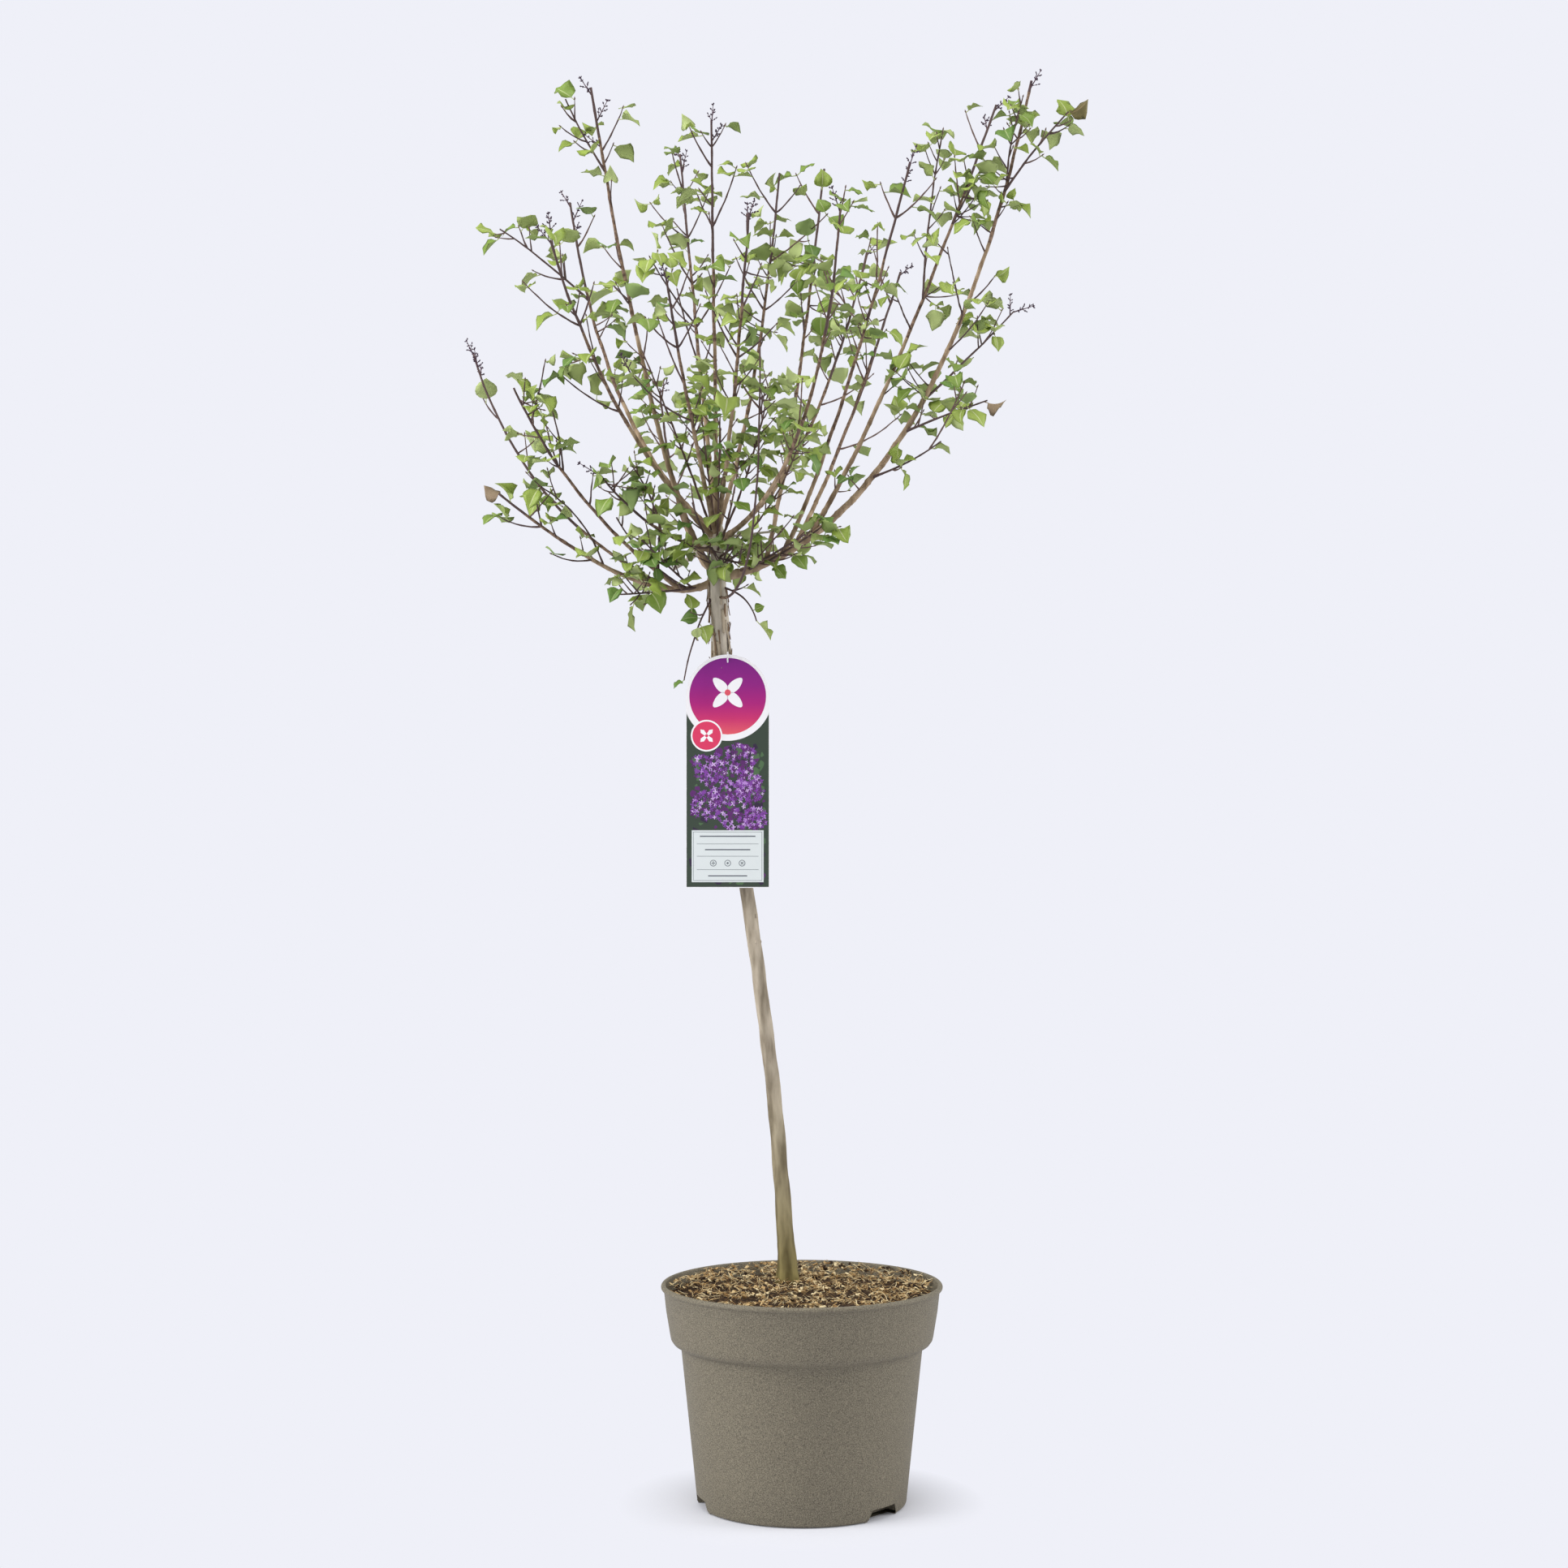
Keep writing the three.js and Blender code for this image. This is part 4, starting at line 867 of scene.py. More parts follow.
settle(boughs_piece, [bough_bark, bough_brown, twig_dusk], BOUGH_NODES)
boughs.paint(boughs_piece)

# %% [markdown]
# ## Side shoots
# Lilac buds stand in pairs, each pair a quarter turn on from the last. The source's rule draws, for every
# bud, whether it has grown, how long its shoot is and how far it strays. The same draws are made here, so
# each shoot stands where its solid does. Finer spurs then fill in between them.

# %% Rule values of the source
SHOOT_SEED, LEAF_SEED, TIP_SEED, SPUR_SEED = 7001, 30011, 5003, 60013
NODE_GAP, SHOOT_LENGTH, SHOOT_ANGLE, SHOOT_SWEEP = 50.0, 74.0, 46.0, 0.3
SHOOT_WIDTH, SHOOT_TIP = 1.9, 1.1
LEAF_GAP, LEAF_LENGTH, TIP_LEAF_LENGTH = 31.0, 35.0, 29.0
LEAF_STAGGER = 0.9
SPIKE_LENGTH = 26.0
PROBES = (0.35, 0.5, 0.65, 0.8, 0.9, 1.0)


def round_of(bend, share, turn):
    return bend.sideways * math.cos(turn) + bend.outward(share) * math.sin(turn)


def quarter(pair, half, stray, start=0):
    """The turn of one of a pair: each pair stands a quarter turn on from the last, and strays a little."""
    return math.radians(90 * pair + 180 * half + stray + start)


def sprout(foot, aim, length, sweep):
    """A bend that leaves its foot straight and sweeps up towards its tip."""
    return Bend(foot, foot + aim * (length / 2), foot + aim * length + UP * (length * sweep))


def shoot_from(index, bend, share, turn, length, probes=PROBES):
    """A shoot that leaves its carrier at an angle, sweeps up, and ends where its limb's room ends."""
    foot, along = bend.at(share), bend.along(share)
    lean = math.radians(SHOOT_ANGLE)
    aim = along * math.cos(lean) + round_of(bend, share, turn) * math.sin(lean)
    shoot, reach = sprout(foot, aim, length, SHOOT_SWEEP), 0.0
    for probe in probes:
        if not in_space(index, shoot.at(probe)):
            break
        reach = probe
    return shoot, reach


# %% Shoots of every limb
class Shoot:
    """A leafy twig: its limb, its number on it, its curve and how much of the curve is there."""

    def __init__(self, index, number, bend, reach, wide, thin, free=False):
        self.index, self.number, self.bend, self.reach = index, number, bend, reach
        self.wide, self.thin, self.free = wide, thin, free
        self.length = bend.length * reach

    def samples(self, start=0.3):
        count = max(3, int(self.length / 4))
        return [self.bend.at(self.reach * mix(start, 1, i / count)) for i in range(count + 1)]


def clear_of_limbs(points, margin):
    return all(gaps_to_lines(point).min() > margin for point in points)


def grown_buds(count, throw, chance, stray, start=0):
    """Runs over the paired buds of a limb, and gives the node, side, size and turn of those that grew."""
    for node in range(count):
        for half in (0, 1):
            grown, size, wandering = throw(), throw(), throw() - 0.5
            if grown <= chance:
                yield node, half, size, quarter(node, half, stray * wandering, start)


shoots = []
for index, limb in enumerate(LIMBS):
    nodes = max(2, round(limb.bend.length * (1 - limb.bare) / NODE_GAP))
    for node, half, size, turn in grown_buds(nodes, dice(SHOOT_SEED + 97 * index), limb.leafy, 35, 45):
        share = mix(limb.bare, 1, (node + 0.6) / (nodes + 0.35))
        taper = 1 - 0.55 * (node / nodes)
        length = SHOOT_LENGTH * limb.vigour * taper * mix(0.55, 1.15, size)
        bend, reach = shoot_from(index, limb.bend, share, turn, length)
        made = Shoot(index, 2 * node + half, bend, reach, SHOOT_WIDTH, SHOOT_TIP)
        if made.length >= 12 and clear_of_limbs(made.samples(), 1.2):
            shoots.append(made)
print("side shoots:", len(shoots))

# %% Finer spurs on the limbs
SPUR_STEP, SPRAY_STEP, BOUGH_STEP = 22.0, 11.0, 15.0
SPUR_WIDTH, TWIG_TIP = 1.5, 1.0
spurs = []


def grow_spurs(index, limb, low, high, step, chance, lengths, seed):
    """Short side twigs along one stretch of a limb."""
    count = int(limb.bend.length * (high - low) / step)
    for node, half, size, turn in grown_buds(count, dice(seed + 97 * index), chance, 50):
        share = mix(low, high, (node + 0.3) / (count + 0.2))
        bend, reach = shoot_from(index, limb.bend, share, turn, mix(*lengths, size), (0.6, 0.8, 1.0))
        made = Shoot(index, seed % 1000 + 2 * node + half, bend, reach, SPUR_WIDTH, TWIG_TIP)
        if made.length >= 8 and clear_of_limbs(made.samples(0.4), 1.0):
            spurs.append(made)


for index, limb in enumerate(LIMBS):
    if limb.name.endswith("_spray"):
        grow_spurs(index, limb, 0.15, 1, SPRAY_STEP, 0.85, (14, 36), SPUR_SEED)
    else:
        grow_spurs(index, limb, limb.bare, 1, SPUR_STEP, 0.5 * limb.leafy, (12, 30), SPUR_SEED)
    if limb.name in ("left_low", "right_low"):
        grow_spurs(index, limb, 0.05, 0.3, BOUGH_STEP, 0.62, (18, 46), SPUR_SEED + 400)
print("spurs:", len(spurs))

# %% [markdown]
# Between the boughs stand long leafy twigs that are thinner than most limbs in the table. They fill the
# middle of the head low down, the places beside the fork, the crest on the right and a few gaps between
# the upper boughs. They have the same columns as the limbs. Each prints how far clear of the limbs it
# passes, and only its spurs are left out where a limb is too near.

# %% Leafy twigs between the limbs
TWIG_ROWS = """
right_leader right_tall 0.66 141 58 1352 0.25 0.55 2.2 1.3 0.1 0.9 0.5 0
right_cluster right_tall 0.8 176 30 1306 0.5 0.5 2 1.3 0.1 0.9 0.5 0
right_crest right_low 0.88 214 -20 1366 0.1 0.5 2 1.3 0.1 0.9 0.5 0
low_leaf_a left_low 0.17 -154 -86 934 0.4 0.35 2.2 1.3 0.1 0.9 0.5 0
low_leaf_b left_arm 0.1 -138 -20 962 0.3 0.4 2.2 1.3 0.1 0.9 0.5 0
mid_leaf_a left_mid 0.45 -160 -84 1000 0.3 0.6 2 1.3 0.1 0.9 0.5 0
fork_left trunk 934 -152 -64 1112 0.45 0.5 2.4 1.3 0.4 0.9 0.5 0
fork_front trunk 930 -78 -84 1048 0.6 0.3 2.4 1.3 0.4 0.9 0.5 0
fork_front_b trunk 926 -60 -96 1004 0.6 0.3 2.4 1.3 0.4 0.9 0.5 0
fork_mid trunk 942 -100 -60 1088 0.4 0.3 2.4 1.3 0.4 0.9 0.5 0
fork_right trunk 932 -30 -80 1082 0.6 0.35 2.4 1.3 0.4 0.9 0.5 0
fork_right_b trunk 920 -2 -76 1028 0.7 0.3 2.4 1.3 0.35 0.9 0.5 0
right_foot_a right_low 0.05 -20 -50 944 0.5 0.3 2.2 1.3 0.1 0.9 0.5 0
right_foot_b right_low 0.1 24 -60 950 0.5 0.4 2.2 1.3 0.1 0.9 0.5 0
stem_leaf trunk 908 -70 -52 934 0.7 0.3 2 1.3 0.2 0.9 0.5 0
stem_leaf_b trunk 912 -94 -48 922 0.6 0.3 2 1.3 0.2 0.9 0.5 0
stem_leaf_c trunk 922 -58 -46 912 0.6 0.6 2 1.3 0.2 0.9 0.5 0
left_side left_arm 0.62 -238 -80 1056 0.2 0.6 1.8 1.2 0.1 0.9 0.5 0
left_side_b left_low 0.62 -250 -66 984 0.3 0.7 1.8 1.2 0.1 0.9 0.5 0
upper_leaf_a back_left 0.6 -149 20 1218 0.5 0.35 1.9 1.2 0.3 0.9 0.5 0
upper_leaf_b right_tall 0.6 89 -40 1176 0.5 0.35 1.9 1.2 0.3 0.9 0.5 0
upper_leaf_c right_low 0.7 138 -80 1208 0.5 0.35 1.9 1.2 0.3 0.9 0.5 0
upper_leaf_d right_front 0.7 25 0 1200 0.5 0.35 1.9 1.2 0.3 0.9 0.5 0
upper_leaf_e centre_right 0.8 24 0 1256 0.5 0.35 1.9 1.2 0.3 0.9 0.5 0
upper_leaf_f right_spur 0.8 152 -100 1078 0.5 0.35 1.8 1.2 0.3 0.9 0.5 0
"""
TWIG_STEP, TWIG_OWNER, TWIG_SEED = 13.0, 200, SPUR_SEED + 1300
long_twigs = []
for number, row in enumerate(TWIG_ROWS.strip().splitlines()):
    limb = Limb(row, limbs)
    owner = TWIG_OWNER + number
    long_twigs.append(Shoot(owner, number, limb.bend, 1.0, limb.wide, limb.thin, free=True))
    count = int(limb.bend.length * (1 - limb.bare) / TWIG_STEP)
    for node, half, size, turn in grown_buds(count, dice(TWIG_SEED + 97 * number), 0.66, 50):
        share = mix(limb.bare, 1, (node + 0.5) / count)
        aim = unit(limb.bend.along(share) * 0.75 + round_of(limb.bend, share, turn) * 0.7 + UP * 0.1)
        bend = sprout(limb.bend.at(share), aim, mix(10, 26, size), 0.15)
        made = Shoot(owner, 2 * node + half, bend, 1.0, 1.3, TWIG_TIP, free=True)
        if clear_of_limbs(made.samples(0.5), 1.0):
            spurs.append(made)
    gap = min(gaps_to_lines(limb.bend.at(s)).min() for s in (0.4, 0.55, 0.7, 0.85, 1.0))
    print(limb.name, "clear by", round(float(gap), 1), "mm")
print("spurs with the long twigs:", len(spurs))

# %% [markdown]
# Leaves also crowd at some places in the head, and the sky shows through at others. Two short tables hold
# those places as they are seen from the front. A dense place is its x and z, its radius and how many
# short shoots the limbs near it send there. An open place is its x and z, its radius and the share of the
# leaves that stays.

# %% Dense places: short shoots from the limbs nearby
DENSE_PLACES = """
182 1290 26 6     166 1262 20 4     97 1097 24 7      5 1176 18 4       40 1178 20 5      70 1172 16 4
-76 922 16 5      -149 916 16 4     -164 982 16 4     -168 884 14 3     -5 1024 18 5      -248 972 16 4
-252 1050 16 4    -262 1026 14 3    142 1330 14 3     -14 1230 20 5     -101 1050 16 4    -30 1060 14 4
140 1180 16 4     61 1130 14 4      182 1146 12 3     -140 1212 16 4    -163 1090 14 3    40 1228 16 3
12 938 14 4       -53 1330 14 3     -53 1268 14 3     42 992 14 3       -212 1090 16 2    -186 1200 14 3
-149 1204 16 4    136 1189 16 4     -181 1157 16 4    10 1220 16 4      -54 1157 16 4     200 1268 14 3
168 1252 16 2     150 1066 14 3     -149 888 14 4     73 1173 16 6      -70 916 18 5     212 1340 14 2
-190 1160 14 3    -300 1236 12 2    10 1240 14 3      140 1180 13 3      -149 1204 14 3     0 1080 13 3
10 1078 14 4      -22 1141 14 4     -70 919 14 3      -40 1157 13 3
-133 1094 14 3    -6 1014 13 3      41 1173 13 3      184 1300 13 2     -38 1062 13 2
89 1157 15 4      152 1315 14 3     136 1189 14 3     -54 919 13 3      120 1062 14 3
"""
PLACE_OWNER, PLACE_SEED, PLACE_TRIES = 300, SPUR_SEED + 7700, 60
FEET = [(limb.bend, i / 60) for limb in LIMBS for i in range(3, 60)]
FEET_AT = np.array([bend.at(share) for bend, share in FEET])
for place, (x, z, radius, count) in enumerate(np.array(DENSE_PLACES.split(), float).reshape(-1, 4)):
    throw, grown = dice(PLACE_SEED + 97 * place), 0
    near = np.nonzero(np.hypot(FEET_AT[:, 0] - x, FEET_AT[:, 2] - z) < radius * 1.35)[0]
    for attempt in range(PLACE_TRIES if len(near) else 0):
        if grown >= count:
            break
        bend, share = FEET[near[int(throw() * len(near))]]
        foot = bend.at(share)
        across, deep, high = throw() * 1.6 - 0.8, throw() - 0.5, throw() * 1.6 - 0.8
        goal = np.array([x + radius * across, foot[1] + 36 * deep, z + radius * high])
        length = clamp(float(np.linalg.norm(goal - foot)), 14, 38)
        shoot = sprout(foot, unit(unit(goal - foot) + UP * 0.25), length, 0.15)
        made = Shoot(PLACE_OWNER + place, attempt, shoot, 1.0, 1.4, TWIG_TIP, free=True)
        if clear_of_limbs(made.samples(0.45), 1.0):
            spurs.append(made)
            grown += 1
print("spurs with the dense places:", len(spurs))

# %% Open places in the head
OPEN_PLACES = """
-230 1375 26 0.4    -230 1332 24 0.5   -184 1356 20 0.5   -303 1255 14 0.4   -259 1243 18 0.35
-203 1258 16 0.4    -274 1193 16 0.3   -218 1190 20 0.5   -207 1133 22 0.4   -151 1160 26 0.5
-130 1252 22 0.3    -110 1290 26 0.5   -109 1341 16 0.35  -76 1260 16 0.5    -67 1201 22 0.4
-107 1125 30 0.3    -105 1176 26 0.35  -163 1131 16 0.35  8 1290 26 0.4      30 1308 18 0.5
16 1250 16 0.4      20 1106 20 0.3     -30 1104 20 0.35   -72 1100 14 0.45   41 1089 28 0.4
52 1047 18 0.4      101 1184 22 0.3    88 1133 16 0.45    148 1151 18 0.4    180 1222 30 0.5
25 1202 16 0.4      116 1239 14 0.5    212 1154 20 0.4    132 1280 18 0.4    -135 864 30 0.4
-186 900 14 0.4     -310 1085 14 0.3   -256 1092 18 0.4   -201 970 16 0.4    -103 964 22 0.35
-263 1001 16 0.35   -135 1065 14 0.4   -170 1020 20 0.5   -28 958 18 0.5     59 958 20 0.4
-9 912 14 0.4       -244 932 14 0.4    139 1040 18 0.3    178 1097 20 0.5    242 1357 14 0.45
-50 866 16 0.4      210 1385 14 0.6    186 1326 20 0.5    120 1330 12 0.4
-195 1360 20 0.3    -190 1190 16 0.4   184 1331 16 0.2    136 1268 18 0.3    -290 1098 20 0.05
165 1210 18 0.35    105 1189 15 0.25   120 1141 16 0.2    -260 1236 15 0.25  -197 1236 16 0.15
-181 888 15 0.4     -6 967 15 0.25     184 1078 16 0.2    -197 1014 20 0.15  -165 1014 15 0.3
-244 919 16 0.15    41 1014 15 0.15    80 1284 20 0.1     10 1109 13 0.4
-228 983 18 0.2     41 1204 14 0.25    89 1125 16 0.3      120 1157 14 0.3    -244 1109 14 0.3
-244 1157 14 0.3    57 1062 14 0.2     -276 1046 12 0.3   168 1331 13 0.3
20 1060 12 0.5      -22 1204 16 0.2    140 1204 13 0.5    -117 872 14 0.4    25 1094 15 0.25
-197 967 17 0.25    10 1284 15 0.3
-70 1220 13 0.35    -54 951 13 0.35    -22 903 13 0.25    57 1062 13 0.25    -86 1173 13 0.4
-276 1189 13 0.25   -38 1109 13 0.35   -6 1109 13 0.35
120 1236 13 0.4     -133 888 13 0.5    -38 951 12 0.4     -22 1204 12 0.5    -101 1284 12 0.4
-149 1236 12 0.3
"""
OPEN = np.array(OPEN_PLACES.split(), float).reshape(-1, 4)


def openness(point):
    """The share of leaves that stays at a place: less than one where the sky shows through."""
    near = np.exp(-((OPEN[:, 0] - point[0]) ** 2 + (OPEN[:, 1] - point[2]) ** 2) / (1.3 * OPEN[:, 2] ** 2))
    return float(np.prod(1 - (1 - OPEN[:, 3]) * near))


print("open places:", len(OPEN))

# %% Side shoots that the open places leave standing
STANDING_SEED = 60011


def stays(shoot, least):
    """Where the sky shows through, most side shoots are missing too."""
    chance = max(openness(shoot.bend.at(0.7 * shoot.reach)) ** 0.4, least)
    return dice(STANDING_SEED + 97 * shoot.index + 13 * shoot.number)() < chance


shoots = [shoot for shoot in shoots if stays(shoot, 0.0)]
spurs = [spur for spur in spurs if stays(spur, 0.15)]
print("left standing:", len(shoots), "side shoots and", len(spurs), "spurs")

# %% Twig lines
class Twig:
    """The wandering line of a shoot, ring by ring, and whether it bears leaves."""

    def __init__(self, shoot, leafy):
        self.shoot, self.leafy, self.top = shoot, leafy, 0
        rings = max(3, int(shoot.length / 5))
        self.line = [shoot.bend.at(shoot.reach * i / rings) for i in range(rings + 1)]
        for i in range(1, rings):
            self.line[i] = self.line[i] + wander(self.line[i], 12, (2, 6, 11)) * 0.5
        knots = [1.25 if i % 3 == 1 else 1.0 for i in range(rings + 1)]
        self.widths = [mix(shoot.wide, shoot.thin, i / rings) * knot for i, knot in enumerate(knots)]
        self.widths[-1] *= 0.8
        self.points = np.array(self.line[1:])

    def bear(self, foot):
        """Notes a leaf, so that the twig is kept up to its last leaf."""
        nearest = int(np.linalg.norm(np.array(self.line) - foot, axis=1).argmin())
        self.leafy, self.top = True, max(self.top, nearest + 1, 2)

    def whole(self):
        return self.top >= len(self.line) - 1


ALL_SHOOTS = shoots + long_twigs + spurs
twigs = [Twig(shoot, shoot in long_twigs) for shoot in ALL_SHOOTS]
twig_of = {id(twig.shoot): twig for twig in twigs}
print("twig lines:", len(twigs))

# %% [markdown]
# ## Leaves
# The leaf is a small pointed oval, a little longer than wide, on a short stalk. Its two halves fold up
# from a sunken midrib and its tip bends down. It is modelled once as rows of points across the blade, top
# and underside, and each copy bends, folds and curls in its own way. Copies of one finished leaf would be
# quicker, but they would all be alike. The underside and the stalk are paler, so each leaf has three plain
# colours, and sprays differ in tint.

# %% One leaf in rows of points
STALK_SHARE = 0.18
ROW_AT = np.array([0.0, 0.05, 0.17, 0.35, 0.54, 0.71, 0.85, 1.0])
ROW_HALF = np.array([0.14, 0.58, 0.9, 1.05, 0.97, 0.7, 0.34, 0.015])
TOP_ACROSS = (-1.0, -0.5, -0.06, 0.06, 0.5, 1.0)
BACK_ACROSS = (-0.5, 0.0, 0.5)
ROW_POINTS = len(TOP_ACROSS) + len(BACK_ACROSS)
LEAF_HALF_WIDTH = 0.37
LEAF_THICK = 0.3


def leaf_faces():
    """Faces and tones of a leaf: 0 is the upper side, 1 the underside, 2 the midrib and stalk."""
    faces, tones = [], []
    under = [0, 6, 7, 8, 5]
    last = (len(ROW_AT) - 1) * ROW_POINTS
    for row in range(len(ROW_AT) - 1):
        a, b = row * ROW_POINTS, (row + 1) * ROW_POINTS
        for k in range(5):
            faces.append((a + k, a + k + 1, b + k + 1, b + k))
            tones.append(2 if k == 2 and row < 6 else 0)
        for left, right in zip(under, under[1:]):
            faces.append((a + left, b + left, b + right, a + right))
            tones.append(1)
    faces += [(0, 6, 7, 8, 5, 4, 3, 2, 1), tuple(last + k for k in (0, 1, 2, 3, 4, 5, 8, 7, 6))]
    tones += [1, 1]
    stalk = len(ROW_AT) * ROW_POINTS
    stalk_faces = [tuple(stalk + corner for corner in face) for face in skin_faces(3, 4)]
    return faces + stalk_faces, tones + [2] * len(stalk_faces)


LEAF_FACES, LEAF_TONES = leaf_faces()


def leaf_points(foot, out, side, lift, length, shape):
    """All points of one leaf. shape gives its fold, droop, puff, wave, twist and the wave's start."""
    fold, droop, puff, wave, twist, phase = shape
    points = np.zeros((len(ROW_AT), ROW_POINTS, 3))
    y = STALK_SHARE + (1 - STALK_SHARE) * ROW_AT
    for column, u in enumerate(TOP_ACROSS + BACK_ACROSS):
        x = u * ROW_HALF * LEAF_HALF_WIDTH
        z = fold * np.abs(x) + puff * (1 - (2 * abs(u) - 1) ** 2) * ROW_HALF * LEAF_HALF_WIDTH
        z = z + wave * u * u * np.sin(3 * math.pi * ROW_AT + phase + (1.6 if u > 0 else 0)) * ROW_HALF
        z = z - droop * (y - STALK_SHARE) ** 2 + 0.04 * y
        turn = twist * ROW_AT
        points[:, column, 0] = x * np.cos(turn) - z * np.sin(turn)
        points[:, column, 1] = y * (1 - 0.25 * droop * ROW_AT)
        sink = LEAF_THICK / length if column >= len(TOP_ACROSS) else 0
        points[:, column, 2] = x * np.sin(turn) + z * np.cos(turn) - sink
    local = points.reshape(-1, 3)
    rings = []
    for s, width in ((0.0, 0.6), (0.1, 0.5), (STALK_SHARE + 0.03, 0.42)):
        half = width / length
        rings += [(-half, s, 0.04 * s), (0, s, 0.04 * s - half), (half, s, 0.04 * s), (0, s, 0.04 * s + half)]
    local = np.vstack([local, np.array(rings)]) * length
    return foot + local[:, :1] * side + local[:, 1:2] * out + local[:, 2:] * lift


print("faces per leaf:", len(LEAF_FACES))

# %% Where the leaves stand
LEAF_MARGIN, LEAF_APART, TWIG_MARGIN, FAR_TWIG = 0.9, 8.0, 2.2, 110
KEEP, DENSE_KEEP = 0.42, 0.82
LEAF_SIZE, SHAPE_SEED = 0.92, 58000
TAG_LEFT, TAG_RIGHT, TAG_UPPER = -113.6, -29.0, 829.0
leaf_centres = []
RIB_PROBES = [ROW_POINTS * row + 2 for row in range(1, 8)]
EDGE_PROBES = [ROW_POINTS * row + edge for edge in (0, 5) for row in (2, 3, 4, 5)]
LEAF_MIDDLE = ROW_POINTS * 3 + 2


def leaf_aim(along, turn, sideways, outward, tilt, roll):
    """The source's aim, but flatter: real leaves spread level, and most tips hang a little."""
    out = sideways * math.cos(turn) + outward * math.sin(turn) + along * 0.5
    out[2] = out[2] * 0.45 + tilt * 0.6 - 0.06
    face = UP + along * 0.25
    face[0] += roll
    face[1] += tilt
    return unit(out), face


def near_twigs(points, own):
    """True where another twig comes too close to any of the points."""
    middle = points.mean(axis=0)
    for twig in twigs:
        if twig.shoot is own or np.abs(twig.points[0] - middle).max() > FAR_TWIG:
            continue
        if np.linalg.norm(twig.points[:, None] - points[None], axis=2).min() < TWIG_MARGIN:
            return True
    return False


def over_tag(points):
    inside = (points[:, 0] > TAG_LEFT) & (points[:, 0] < TAG_RIGHT) & (points[:, 2] < TAG_UPPER)
    return bool(inside.any())


leaf_bundles = {tint: Bundle() for tint in ("fresh", "mid", "light", "deep", "bronze")}


def try_leaf(foot, out, face, length, throw, tint, own, young=False, keep=KEEP):
    """Adds one leaf if it has room, and says whether it did."""
    side = unit(np.cross(face, out))
    lift = unit(np.cross(out, side))
    fold = mix(0.05, 0.6, throw()) + (0.4 if young else 0)
    shape = (fold, mix(0.1, 0.65, throw()), mix(0.02, 0.2, throw()), mix(0.04, 0.15, throw()),
             mix(-0.6, 0.6, throw()), 6.28 * throw())
    points = leaf_points(foot, out, side, lift, length * LEAF_SIZE, shape)
    probes = points[RIB_PROBES + EDGE_PROBES]
    centre = points[LEAF_MIDDLE]
    if throw() > keep * openness(centre):
        return False
    if leaf_centres and np.linalg.norm(np.array(leaf_centres) - centre, axis=1).min() < LEAF_APART:
        return False
    if over_tag(points) or not clear_of_limbs(probes, LEAF_MARGIN) or near_twigs(probes, own):
        return False
    leaf_centres.append(centre)
    if id(own) in twig_of:
        twig_of[id(own)].bear(foot)
    leaf_bundles[tint].add(points, LEAF_FACES, LEAF_TONES)
    return True


def tint_of(throw):
    """Sprays differ in tint."""
    draw = throw()
    return "fresh" if draw < 0.42 else "light" if draw < 0.62 else "mid" if draw < 0.88 else "deep"


def leaves_on(shoot, gap, offset, scale, seed):
    """The pairs of leaves up one twig, each pair a quarter turn on from the one below."""
    throw = dice(seed + 97 * shoot.index + 1009 * shoot.number)
    shape_throw = dice(seed + SHAPE_SEED + 131 * shoot.index + 17 * shoot.number)
    bend, grown = shoot.bend, 0
    keep = DENSE_KEEP if shoot.index >= PLACE_OWNER else KEEP
    spray_tint = tint_of(shape_throw)
    pairs = max(1, round(shoot.length / gap))
    for pair in range(1, pairs + 1):
        share = shoot.reach * (pair - offset) / pairs
        for half in (0, 1):
            size, tilt, roll = throw(), throw() - 0.5, throw() - 0.5
            turn = quarter(pair, half, 40 * roll)
            length = LEAF_LENGTH * mix(0.74, 1.16, size) * (0.85 if pair == pairs else 1) * scale
            along = bend.along(share)
            out, face = leaf_aim(along, turn, bend.sideways, bend.outward(share), tilt, roll)
            foot = bend.at(share) + along * ((half - 0.5) * LEAF_STAGGER)
            if not shoot.free and not in_space(shoot.index, foot + out * length):
                continue
            tint = spray_tint if shape_throw() < 0.7 else tint_of(shape_throw)
            grown += try_leaf(foot, out, face, length, shape_throw, tint, shoot, keep=keep)
    return grown


# The two drooping twigs bear a few leaves in known places: limb, share, direction, length, tint and
# how far the blade turns to the side
DROOPING_LEAVES = """
droop_left 0.36 -1 -0.2 0.1 25 deep 0.2
droop_left 0.42 0.5 -0.4 -0.7 25 light 0.2
droop_left 1 -0.9 -0.3 -0.7 15 deep -0.8
droop_left 1 -0.1 0.15 -1 23 light -4
droop_right 1 0.1 -0.2 -1 20 deep 0.2
droop_right 0.8 0.8 -0.2 0.3 14 mid 0.2
"""
DROOPING_SEED = 800
leaf_count = 0
for number, row in enumerate(DROOPING_LEAVES.strip().splitlines()):
    name, share, *aim, length, tint, aside = row.split()
    face = np.array([float(aside), -0.9, 0.5])
    leaf_count += try_leaf(limbs[name].bend.at(float(share)), unit(np.array(aim, float)), face,
                           float(length), dice(DROOPING_SEED + number), tint, None, keep=1.0)
print("leaves of the drooping twigs:", leaf_count)
leaf_count += sum(leaves_on(shoot, LEAF_GAP, 0.2, 1.0, LEAF_SEED) for shoot in shoots)
print("leaves of the source's rule:", leaf_count)
leaf_count += sum(leaves_on(spur, 17.0, 0.1, 0.86, LEAF_SEED) for spur in spurs)
print("with finer leaves:", leaf_count)

